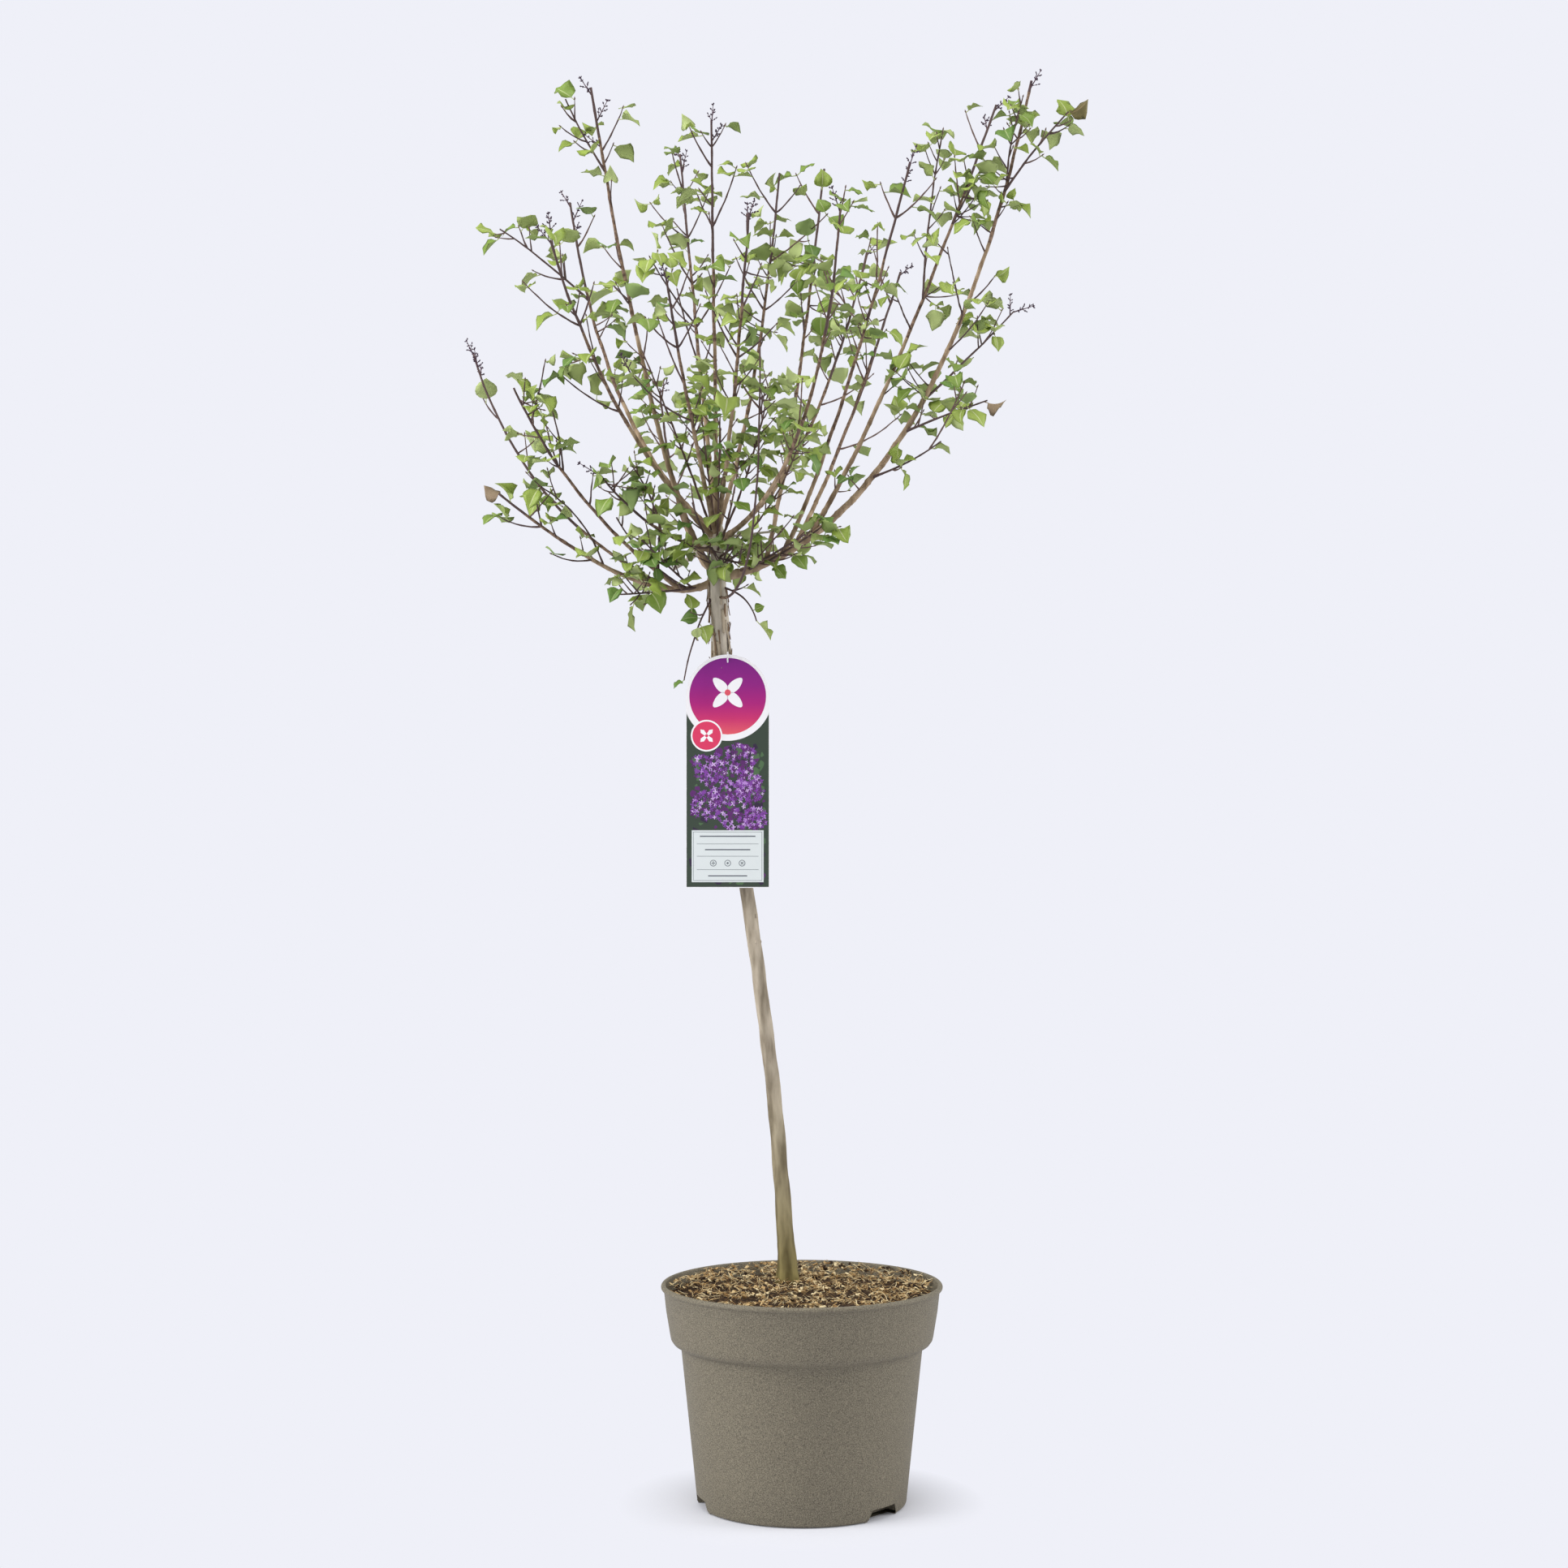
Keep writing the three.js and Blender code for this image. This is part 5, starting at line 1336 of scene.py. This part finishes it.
# %% Leaves on the limbs themselves
LIMB_LEAF_SEED, LIMB_LEAF_GAP, LIMB_LEAF_CHANCE = 35009, 27, 0.3
for index, limb in enumerate(LIMBS):
    if limb.leafy < 0.35:
        continue
    stretch, bend = Shoot(index, 900, limb.bend, 1.0, 0, 0), limb.bend
    throw = dice(LIMB_LEAF_SEED + 97 * index)
    pairs = int(bend.length * (1 - limb.bare) / LIMB_LEAF_GAP)
    for pair in range(pairs):
        share = mix(limb.bare, 0.98, (pair + 0.5) / pairs)
        for half in (0, 1):
            tilt, roll, size = throw() - 0.5, throw() - 0.5, throw()
            if throw() > LIMB_LEAF_CHANCE:
                continue
            turn = quarter(pair, half, 40 * roll)
            out, face = leaf_aim(bend.along(share), turn, bend.sideways, bend.outward(share), tilt, roll)
            foot = bend.at(share) + out * (limb.width(share) * 0.3)
            length = LEAF_LENGTH * mix(0.7, 1.05, size)
            leaf_count += try_leaf(foot, out, face, length, throw, tint_of(throw), stretch)
print("with leaves on the limbs:", leaf_count)

# %% Leaf pairs at the shoot tips
TIP_PAIR_SEED, TIP_PAIR_KEEP, BRONZE_HEIGHT = 71003, 0.68, 1180
for shoot in ALL_SHOOTS:
    throw = dice(TIP_PAIR_SEED + 97 * shoot.index + 13 * shoot.number)
    tip, along = shoot.bend.at(shoot.reach), shoot.bend.along(shoot.reach)
    start, young = throw(), throw() < 0.3
    if start > 0.92:
        continue
    bronze = tip[2] > BRONZE_HEIGHT and young and throw() < 0.14
    tint = "bronze" if bronze else "light" if young else tint_of(throw)
    for half in (0, 1):
        lean = round_of(shoot.bend, shoot.reach, quarter(1, half, 110 * start))
        out = unit(along * 0.3 + lean * 0.95 + UP * (0.1 if young else -0.05))
        face = lean if young else UP + np.array([throw() - 0.5, throw() - 0.7, 0])
        length = mix(14, 22, throw()) if young else mix(20, 32, throw())
        leaf_count += try_leaf(tip, out, face, length, throw, tint, shoot, young, TIP_PAIR_KEEP)
print("with the leaves at the shoot tips:", leaf_count)

# %% Twig tubes
twig_bundle = Bundle()
for twig in twigs:
    if not twig.leafy:
        continue
    shoot = twig.shoot
    whole = shoot in long_twigs or twig.whole()
    line = twig.line if whole else twig.line[: twig.top + 1]
    tone = int(10 * dice(shoot.number + 31 * shoot.index)()) % 2
    twig_bundle.add(*tube(line, twig.widths[: len(line)], 6), tone)
    ahead = shoot.bend.along(shoot.reach) if whole else unit(line[-1] - line[-2])
    twig_bundle.add(*tube([line[-1], line[-1] + ahead * 1.4, line[-1] + ahead * 3.4], [1.0, 1.7, 0.3], 5), 1)
twigs_piece = twig_bundle.piece("twigs")
twig_brown = finish("twig_brown", "66504a", 0.7, 0.3)
FOLIAGE_NODES = [name for name in NODES if name.startswith("foliage_")]
settle(twigs_piece, [twig_dusk, twig_brown], FOLIAGE_NODES)
twig_bundle.paint(twigs_piece)
print("twigs kept:", sum(twig.leafy for twig in twigs), "of", len(twigs))

# %% [markdown]
# ## Flower buds
# At the tips of the strongest limbs the lilac carries next season's panicles: short dark purple stalks
# that branch in pairs, with round buds at their ends. Each panicle is built from thin tubes and small
# spindles.

# %% One panicle
STALK_TONE, BUD_TONE = 0, 1
PANICLE_NODES = 4
buds = Bundle()


def spindle(foot, along, length, widths, tone):
    """A stretch with three widths: a stalk that tapers, or a bud that swells in its middle."""
    waist = 0.5 if tone == STALK_TONE else 0.45
    buds.add(*tube([foot, foot + along * (length * waist), foot + along * length], widths, 5), tone)


def bud(centre, along, length, width):
    spindle(centre, along, length, [width * 0.5, width, width * 0.25], BUD_TONE)


def panicle(foot, along, length, throw):
    """A stalk with four pairs of arms. Each arm ends in a bud, and long ones bear two more."""
    side, lift = frame_of(along)
    spindle(foot, along, length, [1.5, 1.1, 0.6], STALK_TONE)
    for node in range(PANICLE_NODES):
        height = node / (PANICLE_NODES - 1)
        at = foot + along * (length * mix(0.22, 0.98, height))
        for half in (0, 1):
            turn = quarter(node, half, 50 * (throw() - 0.5))
            out = unit(side * math.cos(turn) + lift * math.sin(turn) + along * 0.9)
            arm = mix(6.5, 1.8, height) * mix(0.5, 1.2, throw())
            tip = at + out * arm
            buds.add(*tube([at, tip], [0.8, 0.6], 4), STALK_TONE)
            bud(tip, out, mix(1.7, 2.6, throw()), mix(1.3, 1.9, throw()))
            for turned in (-1, 1) if arm > 3 else ():
                across = unit(np.cross(out, along) * turned + out * 0.7)
                bud(at + out * (arm * 0.6), across, mix(1.8, 2.8, throw()), mix(1.1, 1.6, throw()))
    bud(foot + along * length, along, 2.4, 1.7)


# %% Panicles and leaves at the limb tips
TIP_SHAPE_SEED, SHOOT_SPIKE_SEED, SHOOT_SPIKE_CHANCE = 93001, 47011, 0.1
HEAD_MIDDLE, OUTER_REACH, OUTER_HEIGHT = -30, 170, 1240
panicles = 0
for index, limb in enumerate(LIMBS):
    throw, shape_throw = dice(TIP_SEED + 97 * index), dice(TIP_SHAPE_SEED + 97 * index)
    for number in range(limb.buds or 2):
        share = mix(0.99, 0.93, number / 2)
        lean = round_of(limb.bend, share, math.radians(180 * number + 120 * throw()))
        along = unit(limb.bend.along(share) + lean * (0.5 + 0.25 * number))
        size, foot = mix(0.8, 1.1, throw()), limb.bend.at(share)
        if limb.buds:
            panicle(foot, along, (SPIKE_LENGTH - 3) * size, shape_throw)
            panicles += 1
        else:
            outer = foot[2] > OUTER_HEIGHT or abs(foot[0] - HEAD_MIDDLE) > OUTER_REACH
            tint = "bronze" if shape_throw() < 0.5 and outer else "fresh"
            length = TIP_LEAF_LENGTH * size
            leaf_count += try_leaf(foot, along, lean, length, shape_throw, tint, None, True, 1.0)
for shoot in shoots:
    throw = dice(SHOOT_SPIKE_SEED + 97 * shoot.index + 7 * shoot.number)
    spiked = LIMBS[shoot.index].buds and throw() < SHOOT_SPIKE_CHANCE
    if spiked and twig_of[id(shoot)].leafy and twig_of[id(shoot)].whole():
        along = unit(shoot.bend.along(shoot.reach) + UP * 0.4)
        panicle(shoot.bend.at(shoot.reach), along, mix(12, 19, throw()), throw)
        panicles += 1
buds_piece = buds.piece("flower_buds")
bud_finishes = [finish("bud_stalk", "5b4550", 0.7, 0.3), finish("bud_purple", "3f2c40", 0.6, 0.35)]
settle(buds_piece, bud_finishes)
buds.paint(buds_piece)
print("panicles:", panicles, "leaves:", leaf_count)

# %% Leaf pieces by tint
LEAF_TINTS = {
    "fresh": ("8a9e44", "9dac68", "b6bd88"), "mid": ("758e3b", "8ea05d", "a3b078"),
    "light": ("98ab51", "aab878", "c0c892"), "deep": ("64843a", "83985a", "98aa70"),
    "bronze": ("776d41", "948068", "9c8762"),
}
for tint, bundle in leaf_bundles.items():
    piece = bundle.piece("leaves_" + tint)
    top, under, stalk = LEAF_TINTS[tint]
    settle(piece, [finish("leaf_" + tint, top, 0.5, 0.35), finish("leaf_back_" + tint, under, 0.65, 0.25),
                   finish("leaf_stalk_" + tint, stalk, 0.6, 0.25)])
    bundle.paint(piece)

# %% [markdown]
# ## The tag
# A plant tag is a plastic card with a round head. The card is modelled from a circle: its lower half is
# cut away, the straight edge is drawn down, the sheet gets its thickness, and a hole is cut for the
# loop. The print on it is generic: a disc with one flower, a badge, a bed of small four-petalled flowers
# and an empty panel with rules. Each print is a very thin closed shape that lies on the card.

# %% The card
TAG_WIDTH, TAG_HEIGHT, TAG_THICK, TAG_TOP, TAG_X = 81.0, 227.0, 0.8, 826.5, -72.2
TAG_HOLE, TAG_HOLE_DROP = 5.0, 7.5
HANG_HEIGHT = TAG_TOP - TAG_HOLE_DROP
HANG = stem_at(HANG_HEIGHT)
LOOP_THICK, LOOP_CLEAR = 1.5, 0.3
LOOP_RADIUS = stem_width(HANG_HEIGHT) * 0.545 + LOOP_CLEAR + LOOP_THICK / 2
TAG_BACK = HANG[1] - LOOP_RADIUS - LOOP_THICK / 2 - 2 * LOOP_CLEAR
TAG_FRONT = TAG_BACK - TAG_THICK
HEAD_Z = TAG_TOP - TAG_WIDTH / 2

bpy.ops.object.select_all(action="DESELECT")
bpy.ops.mesh.primitive_circle_add(
    vertices=96, radius=TAG_WIDTH / 2 * MM, fill_type="NGON", rotation=(math.radians(90), 0, 0),
    location=(TAG_X * MM, TAG_BACK * MM, HEAD_Z * MM),
)
card = bpy.context.object
card.name = "tag_card"
bpy.ops.object.transform_apply(location=True, rotation=True, scale=True)
bpy.ops.object.mode_set(mode="EDIT")
bpy.ops.mesh.select_all(action="SELECT")
bpy.ops.mesh.bisect(plane_co=(0, 0, HEAD_Z * MM), plane_no=(0, 0, -1), clear_outer=True)
bpy.ops.mesh.select_all(action="DESELECT")
bpy.ops.mesh.select_mode(type="EDGE")
bpy.ops.object.mode_set(mode="OBJECT")
for edge in card.data.edges:
    edge.select = all(abs(card.data.vertices[v].co.z - HEAD_Z * MM) < 1e-6 for v in edge.vertices)
bpy.ops.object.mode_set(mode="EDIT")
foot_drop = TAG_TOP - TAG_HEIGHT - HEAD_Z
bpy.ops.mesh.extrude_region_move(TRANSFORM_OT_translate={"value": (0, 0, foot_drop * MM)})
bpy.ops.mesh.select_all(action="SELECT")
bpy.ops.mesh.extrude_region_move(TRANSFORM_OT_translate={"value": (0, -TAG_THICK * MM, 0)})
bpy.ops.mesh.select_all(action="SELECT")
bpy.ops.mesh.normals_make_consistent(inside=False)
bpy.ops.object.mode_set(mode="OBJECT")
bpy.ops.object.select_all(action="DESELECT")
bpy.ops.mesh.primitive_cylinder_add(
    vertices=32, radius=TAG_HOLE / 2 * MM, depth=8 * MM, rotation=(math.radians(90), 0, 0),
    location=(TAG_X * MM, TAG_BACK * MM, HANG_HEIGHT * MM),
)
combine(card, bpy.context.object, "DIFFERENCE")
card_white = finish("card_white", "f1eff2", 0.35, 0.45)
settle(card, [card_white], ["tag"])

# %% Print helpers
PRINT_STEP, PRINT_SINK = 0.06, 0.02
printed = Bundle()
INKS = [
    ("ink_coral", "de5566"), ("ink_moss", "39453a"), ("ink_fern", "4f6b4a"), ("ink_shade", "33263f"),
    ("petal_deep", "5d2a6b"), ("petal_mid", "8143a0"), ("petal_pale", "b487cf"), ("petal_light", "d3b3e4"),
    ("ink_panel", "d9dfdf"), ("ink_white", "f4f2f5"), ("ink_grey", "747a80"), ("ink_badge", "d93a63"),
]
INK = {name: number for number, (name, _) in enumerate(INKS)}


def flat_print(outline, ink, layer):
    """A very thin closed shape on the card's front. Its outline runs anticlockwise as seen from the front."""
    front, back, count = TAG_FRONT - PRINT_STEP * layer, TAG_FRONT + PRINT_SINK, len(outline)
    points = [(TAG_X + x, depth, TAG_TOP + z) for depth in (front, back) for x, z in outline]
    faces = [tuple(range(count)), tuple(reversed(range(count, 2 * count)))]
    faces += [(i, i + count, (i + 1) % count + count, (i + 1) % count) for i in range(count)]
    printed.add(points, faces, INK[ink])


def round_at(x, z, radius, turns):
    """Points at some turns of a circle."""
    return [(x + radius * math.cos(turn), z + radius * math.sin(turn)) for turn in turns]


def disc(x, z, radius, ink, layer, corners=48):
    flat_print(round_at(x, z, radius, [2 * math.pi * i / corners for i in range(corners)]), ink, layer)


def bar(x, z, width, height, ink, layer):
    flat_print([(x, z), (x + width, z), (x + width, z + height), (x, z + height)], ink, layer)


def floret(x, z, size, turn, ink, layer):
    """A flower of four pointed petals."""
    outline = []
    for petal in range(4):
        for angle, reach in ((-45, 0.2), (-20, 0.72), (0, 1.0), (20, 0.72)):
            outline += round_at(x, z, size * reach, [math.radians(90 * petal + angle) + turn])
    flat_print(outline, ink, layer)


# %% [markdown]
# The disc fades from plum at the top to coral at the bottom, so it is cut into level bands of close
# colours, because print on the card has no blends. One white flower fills the place where a real tag
# has a name, and a round badge with a smaller flower hangs at the disc's lower left.

# %% Print the disc in bands
DISC_DROP, DISC_RADIUS, BAND_COUNT = 40.5, 37.3, 40
BAND_STOPS = [(0.0, "7a1880"), (0.35, "8f1a80"), (0.6, "aa1c78"), (0.8, "c8306c"), (1.0, "e05a66")]
band_shares = [1 - (band + 0.5) / BAND_COUNT for band in range(BAND_COUNT)]
for band in range(BAND_COUNT):
    low = -DISC_RADIUS + 2 * DISC_RADIUS * band / BAND_COUNT
    high = -DISC_RADIUS + 2 * DISC_RADIUS * (band + 1) / BAND_COUNT
    steps = [low + (high - low) * i / 3 for i in range(4)]
    right = [(math.sqrt(max(0.01, DISC_RADIUS**2 - z * z)), -DISC_DROP + z) for z in steps]
    INK[f"band_{band}"] = len(INKS) + band
    flat_print(right + [(-x, z) for x, z in reversed(right)], f"band_{band}", 1)


def band_colour(share):
    """The colour at one share of the way down the disc."""
    stops, codes = zip(*BAND_STOPS)
    return [float(np.interp(share, stops, shades)) for shades in zip(*map(colour, codes))]


# %% Print the flower and the badge
FLOWER_Z, PETAL_OUT, PETAL_LONG, PETAL_WIDE = -37, 10.5, 9.2, 4.8
BADGE_X, BADGE_Z, BADGE_RADIUS = -20.5, -79, 15.4
for petal in range(4):
    turn = math.radians(45 + 90 * petal)
    [(x, z)] = round_at(0, FLOWER_Z, PETAL_OUT, [turn])
    outline = []
    for i in range(20):
        t = 2 * math.pi * i / 20
        along, across = PETAL_LONG * math.cos(t), PETAL_WIDE * math.sin(t) * (1 - 0.25 * math.cos(t))
        outline.append((x + along * math.cos(turn) - across * math.sin(turn),
                        z + along * math.sin(turn) + across * math.cos(turn)))
    flat_print(outline, "ink_white", 2)
disc(0, FLOWER_Z, 3.0, "ink_coral", 3, 24)
disc(BADGE_X, BADGE_Z, BADGE_RADIUS, "ink_white", 3)
disc(BADGE_X, BADGE_Z, BADGE_RADIUS - 1.6, "ink_badge", 4)
floret(BADGE_X, BADGE_Z, 8.6, math.radians(45), "ink_white", 5)
disc(BADGE_X, BADGE_Z, 1.5, "ink_badge", 6, 16)

# %% Print the flower bed
PICTURE_BOTTOM, PICTURE_ARC, PRINT_SEED = -226.2, 43.5, 5521
BLOT_COUNT, FLORET_COUNT = 260, 760
BLOT_INKS = ("ink_fern", "ink_shade", "petal_deep", "ink_moss")
PETAL_INKS = (("petal_deep", 0.38), ("petal_mid", 0.72), ("petal_pale", 0.92), ("petal_light", 1.0))
HEADS = [
    (-17, -108, 17), (13, -101, 15), (-2, -128, 19), (22, -130, 14), (-22, -148, 15), (6, -153, 18),
    (27, -160, 11),
]
half = TAG_WIDTH / 2 - 0.5
arc = round_at(0, -DISC_DROP, -PICTURE_ARC, [math.radians(degrees) for degrees in range(24, 157, 4)])
arc = [(x, z) for x, z in arc if abs(x) < half]
ground = [(-half, PICTURE_BOTTOM), (half, PICTURE_BOTTOM), (half, arc[-1][1] + 2)]
flat_print(ground + list(reversed(arc)) + [(-half, arc[0][1] + 2)], "ink_moss", 1)
throw = dice(PRINT_SEED)
for _ in range(BLOT_COUNT):
    x, z = mix(-half + 5, half - 5, throw()), mix(-222, -88, throw())
    size = mix(1.6, 4.6, throw())
    turns = sorted(2 * math.pi * throw() for _ in range(7))
    ink = BLOT_INKS[int(throw() * len(BLOT_INKS))]
    if math.hypot(x, z + DISC_DROP) > 50:
        flat_print(round_at(x, z, size, turns), ink, 1.4 + 0.5 * throw())
for _ in range(FLORET_COUNT):
    head_x, head_z, head_radius = HEADS[int(throw() * len(HEADS))]
    [(x, z)] = round_at(head_x, head_z, head_radius * math.sqrt(throw()), [2 * math.pi * throw()])
    size, spin, draw = mix(1.5, 2.9, throw()), 6.28 * throw(), throw()
    if abs(x) > half - 3 or math.hypot(x, z + DISC_DROP) < 47 or math.hypot(x - BADGE_X, z - BADGE_Z) < 19:
        continue
    ink = next(name for name, below in PETAL_INKS if draw < below)
    floret(x, z, size, spin, ink, 2 + 1.6 * throw())

# %% Print the empty panel with its rules
PANEL_X, PANEL_Z, PANEL_WIDE, PANEL_HIGH = -35, -221.5, 70, 50.5
ICON_Z, ICON_STEP = -203, 14
bar(PANEL_X, PANEL_Z, PANEL_WIDE, PANEL_HIGH, "ink_panel", 5)
for inset, ink, layer in ((1.5, "ink_grey", 6), (1.9, "ink_panel", 7)):
    bar(PANEL_X + inset, PANEL_Z + inset, PANEL_WIDE - 2 * inset, PANEL_HIGH - 2 * inset, ink, layer)
for z in (-184.5, -196.5, -209.5):
    bar(-30, z, 60, 0.4, "ink_grey", 8)
for x, z, width in ((-27, -177.5, 54), (-22, -190.5, 44), (-19, -216, 38)):
    bar(x, z, width, 1.3, "ink_grey", 8)
for x in (-ICON_STEP, 0, ICON_STEP):
    disc(x, ICON_Z, 3.2, "ink_grey", 8, 24)
    disc(x, ICON_Z, 2.5, "ink_panel", 9, 24)
floret(-ICON_STEP, ICON_Z, 2.0, 0, "ink_grey", 10)
disc(0, ICON_Z, 1.1, "ink_grey", 10, 16)
floret(ICON_STEP, ICON_Z, 2.0, math.radians(45), "ink_grey", 10)
print_piece = printed.piece("tag_print", smooth=False)
ink_finishes = [finish(name, code, 0.35, 0.4) for name, code in INKS]
for band, share in enumerate(band_shares):
    shade = finish(f"disc_shade_{band}", "8c1d84", 0.35, 0.4)
    dial(shade.node_tree.nodes["Principled BSDF"], {"Base Color": band_colour(share)})
    ink_finishes.append(shade)
settle(print_piece, ink_finishes)
printed.paint(print_piece)

# %% [markdown]
# ## The loop
# A thin plastic strand goes round the stem, through the hole and over the top of the card, and a small
# lock behind the stem holds its two ends. It follows the same route as its solid.

# %% Loop and lock
front = TAG_FRONT - 1.6 * LOOP_CLEAR - LOOP_THICK / 2
behind = TAG_BACK + 1.6 * LOOP_CLEAR + LOOP_THICK / 2
over = TAG_TOP + 2 * LOOP_CLEAR + LOOP_THICK / 2 + 0.3
LOCK_SIZE, LOCK_BEARING = (5.5, 2.6, 4.5), 180


def ring_point(bearing, lift):
    """A place on the strand's way round the stem, at a bearing from the front."""
    turn = math.radians(bearing)
    x, y = HANG[0] + LOOP_RADIUS * math.sin(turn), HANG[1] - LOOP_RADIUS * math.cos(turn)
    return np.array([x, y, HANG_HEIGHT + 2 + lift])


route = [ring_point(b, 1.5 + 2 * (b / 180)) for b in (176, 140, 105, 70, 38)]
route += [np.array(point) for point in (
    (TAG_X + 2.2, behind, TAG_TOP - 2), (TAG_X, behind - 0.2, over - 0.3),
    (TAG_X, (front + behind) / 2, over + 0.6), (TAG_X, front, over - 0.8),
    (TAG_X, front - 0.2, HANG_HEIGHT + 2.6), (TAG_X, (front + behind) / 2, HANG_HEIGHT),
    (TAG_X - 1.6, behind, HANG_HEIGHT + 0.2),
)]
route += [ring_point(b, 1.5 - 2 * (b / 180)) for b in (-38, -70, -105, -140, -176)]


def smooth_route(points, per_span):
    """More points along a route, on smooth cubic spans."""
    made = []
    for i in range(len(points) - 1):
        p0, p1, p2, p3 = points[max(i - 1, 0)], points[i], points[i + 1], points[min(i + 2, len(points) - 1)]
        for k in range(per_span):
            s = k / per_span
            made.append(0.5 * (2 * p1 + (p2 - p0) * s + (2 * p0 - 5 * p1 + 4 * p2 - p3) * s**2
                               + (3 * p1 - p0 - 3 * p2 + p3) * s**3))
    return made + [points[-1]]


strand = Bundle()
line = smooth_route(route, 6)
strand.add(*tube(line, [LOOP_THICK * 0.96] * len(line), 12))
loop_piece = strand.piece("tag_loop_strand")
settle(loop_piece, [finish("loop_plastic", "e4e1e6", 0.35, 0.5)], ["tag_loop"])

bpy.ops.object.select_all(action="DESELECT")
lock_y, lock_z = HANG[1] + LOOP_RADIUS + LOOP_THICK / 2 - 0.2, ring_point(LOCK_BEARING, 3.5)[2]
bpy.ops.mesh.primitive_cube_add(size=1 * MM, location=(HANG[0] * MM, lock_y * MM, lock_z * MM))
lock = bpy.context.object
lock.name = "tag_loop_lock"
bpy.ops.object.mode_set(mode="EDIT")
bpy.ops.mesh.select_all(action="SELECT")
bpy.ops.transform.resize(value=LOCK_SIZE, center_override=tuple(lock.location))
bpy.ops.mesh.bevel(offset=0.6 * MM, segments=3)
bpy.ops.object.mode_set(mode="OBJECT")
bpy.ops.object.shade_smooth_by_angle(angle=math.radians(35))
settle(lock, [bpy.data.materials["loop_plastic"]])

# %% [markdown]
# ## Stage, light and camera
# The plant stands on a wide pale floor in an even pale room. Near the pot the floor takes soft shadow, and
# further out it turns into the light of the room, so no horizon shows. Large soft lamps stand on both
# sides. The camera is level, at the height of the stem's middle.

# %% Floor and room
ROOM = "eff0f8"
bpy.ops.object.select_all(action="DESELECT")
bpy.ops.mesh.primitive_circle_add(vertices=96, radius=14, fill_type="NGON", location=(0, 0, -0.0006))
floor = bpy.context.object
floor.name = "studio_floor"
floor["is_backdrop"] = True
floor_finish = finish("studio_floor", "dcdde4", 0.9, 0.1)
tree = floor_finish.node_tree
where, distance = tree.nodes.new("ShaderNodeTexCoord"), tree.nodes.new("ShaderNodeVectorMath")
far, glow = tree.nodes.new("ShaderNodeMapRange"), tree.nodes.new("ShaderNodeEmission")
blend, path = tree.nodes.new("ShaderNodeMixShader"), tree.nodes.new("ShaderNodeLightPath")
shown = tree.nodes.new("ShaderNodeMath")
distance.operation, shown.operation = "LENGTH", "MULTIPLY"
dial(far, {"From Min": 0.09, "From Max": 0.18})
dial(glow, {"Color": colour(ROOM)})
wire(tree, (where, "Object", distance, 0), (distance, "Value", far, "Value"), (far, "Result", shown, 0),
     (path, "Is Camera Ray", shown, 1), (shown, "Value", blend, "Fac"),
     (tree.nodes["Principled BSDF"], "BSDF", blend, 1), (glow, "Emission", blend, 2),
     (blend, "Shader", tree.nodes["Material Output"], "Surface"))
floor.data.materials.append(floor_finish)

room = bpy.data.worlds.new("pale_room")
bpy.context.scene.world = room
room.use_nodes = True
tree = room.node_tree
seen, ambient = tree.nodes["Background"], tree.nodes.new("ShaderNodeBackground")
path, either = tree.nodes.new("ShaderNodeLightPath"), tree.nodes.new("ShaderNodeMixShader")
dial(seen, {"Color": colour(ROOM)})
dial(ambient, {"Color": (1.0, 1.0, 1.0, 1.0), "Strength": 0.5})
wire(tree, (path, "Is Camera Ray", either, "Fac"), (ambient, "Background", either, 1),
     (seen, "Background", either, 2), (either, "Shader", tree.nodes["World Output"], "Surface"))


# %% Lamps
def lamp(name, place, aim, size, power, tint=(1.0, 1.0, 1.0)):
    data = bpy.data.lights.new(name, "AREA")
    data.energy, data.size, data.color = power, size, tint
    made = bpy.data.objects.new(name, data)
    made.location = place
    made.rotation_euler = (Vector(aim) - Vector(place)).to_track_quat("-Z", "Y").to_euler()
    bpy.context.scene.collection.objects.link(made)
    return made


lamp("left_softbox", (-2.7, -1.1, 1.9), (0, 0, 0.7), 1.8, 84)
lamp("right_softbox", (2.7, -0.2, 1.6), (0, 0, 0.7), 1.6, 48)
lamp("top_softbox", (-0.3, -0.9, 3.3), (0, 0, 1.0), 1.8, 34)

# %% Camera
CAMERA_DISTANCE, CAMERA_X, CAMERA_HEIGHT = 2.8, -0.0174, 0.7005
camera_data = bpy.data.cameras.new("level_camera")
camera_data.sensor_width, camera_data.lens = 36.0, 65.84
camera = bpy.data.objects.new("level_camera", camera_data)
camera.location = (CAMERA_X, -CAMERA_DISTANCE, CAMERA_HEIGHT)
camera.rotation_euler = (math.radians(90), 0, 0)
bpy.context.scene.collection.objects.link(camera)
bpy.context.scene.camera = camera
bpy.context.scene.view_settings.view_transform = "Standard"
bpy.context.scene.view_settings.look = "None"

# %% [markdown]
# ## The boxes
# The dressed plant has to keep the size of its solids, so the box of each is printed.

# %% Print the boxes and finish
low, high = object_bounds()
sizes = {"cad": [list(cad_low), list(cad_high)], "visual": [list(low), list(high)]}
print("CAD box", tuple(cad_low), tuple(cad_high))
print("shown box", tuple(low), tuple(high))
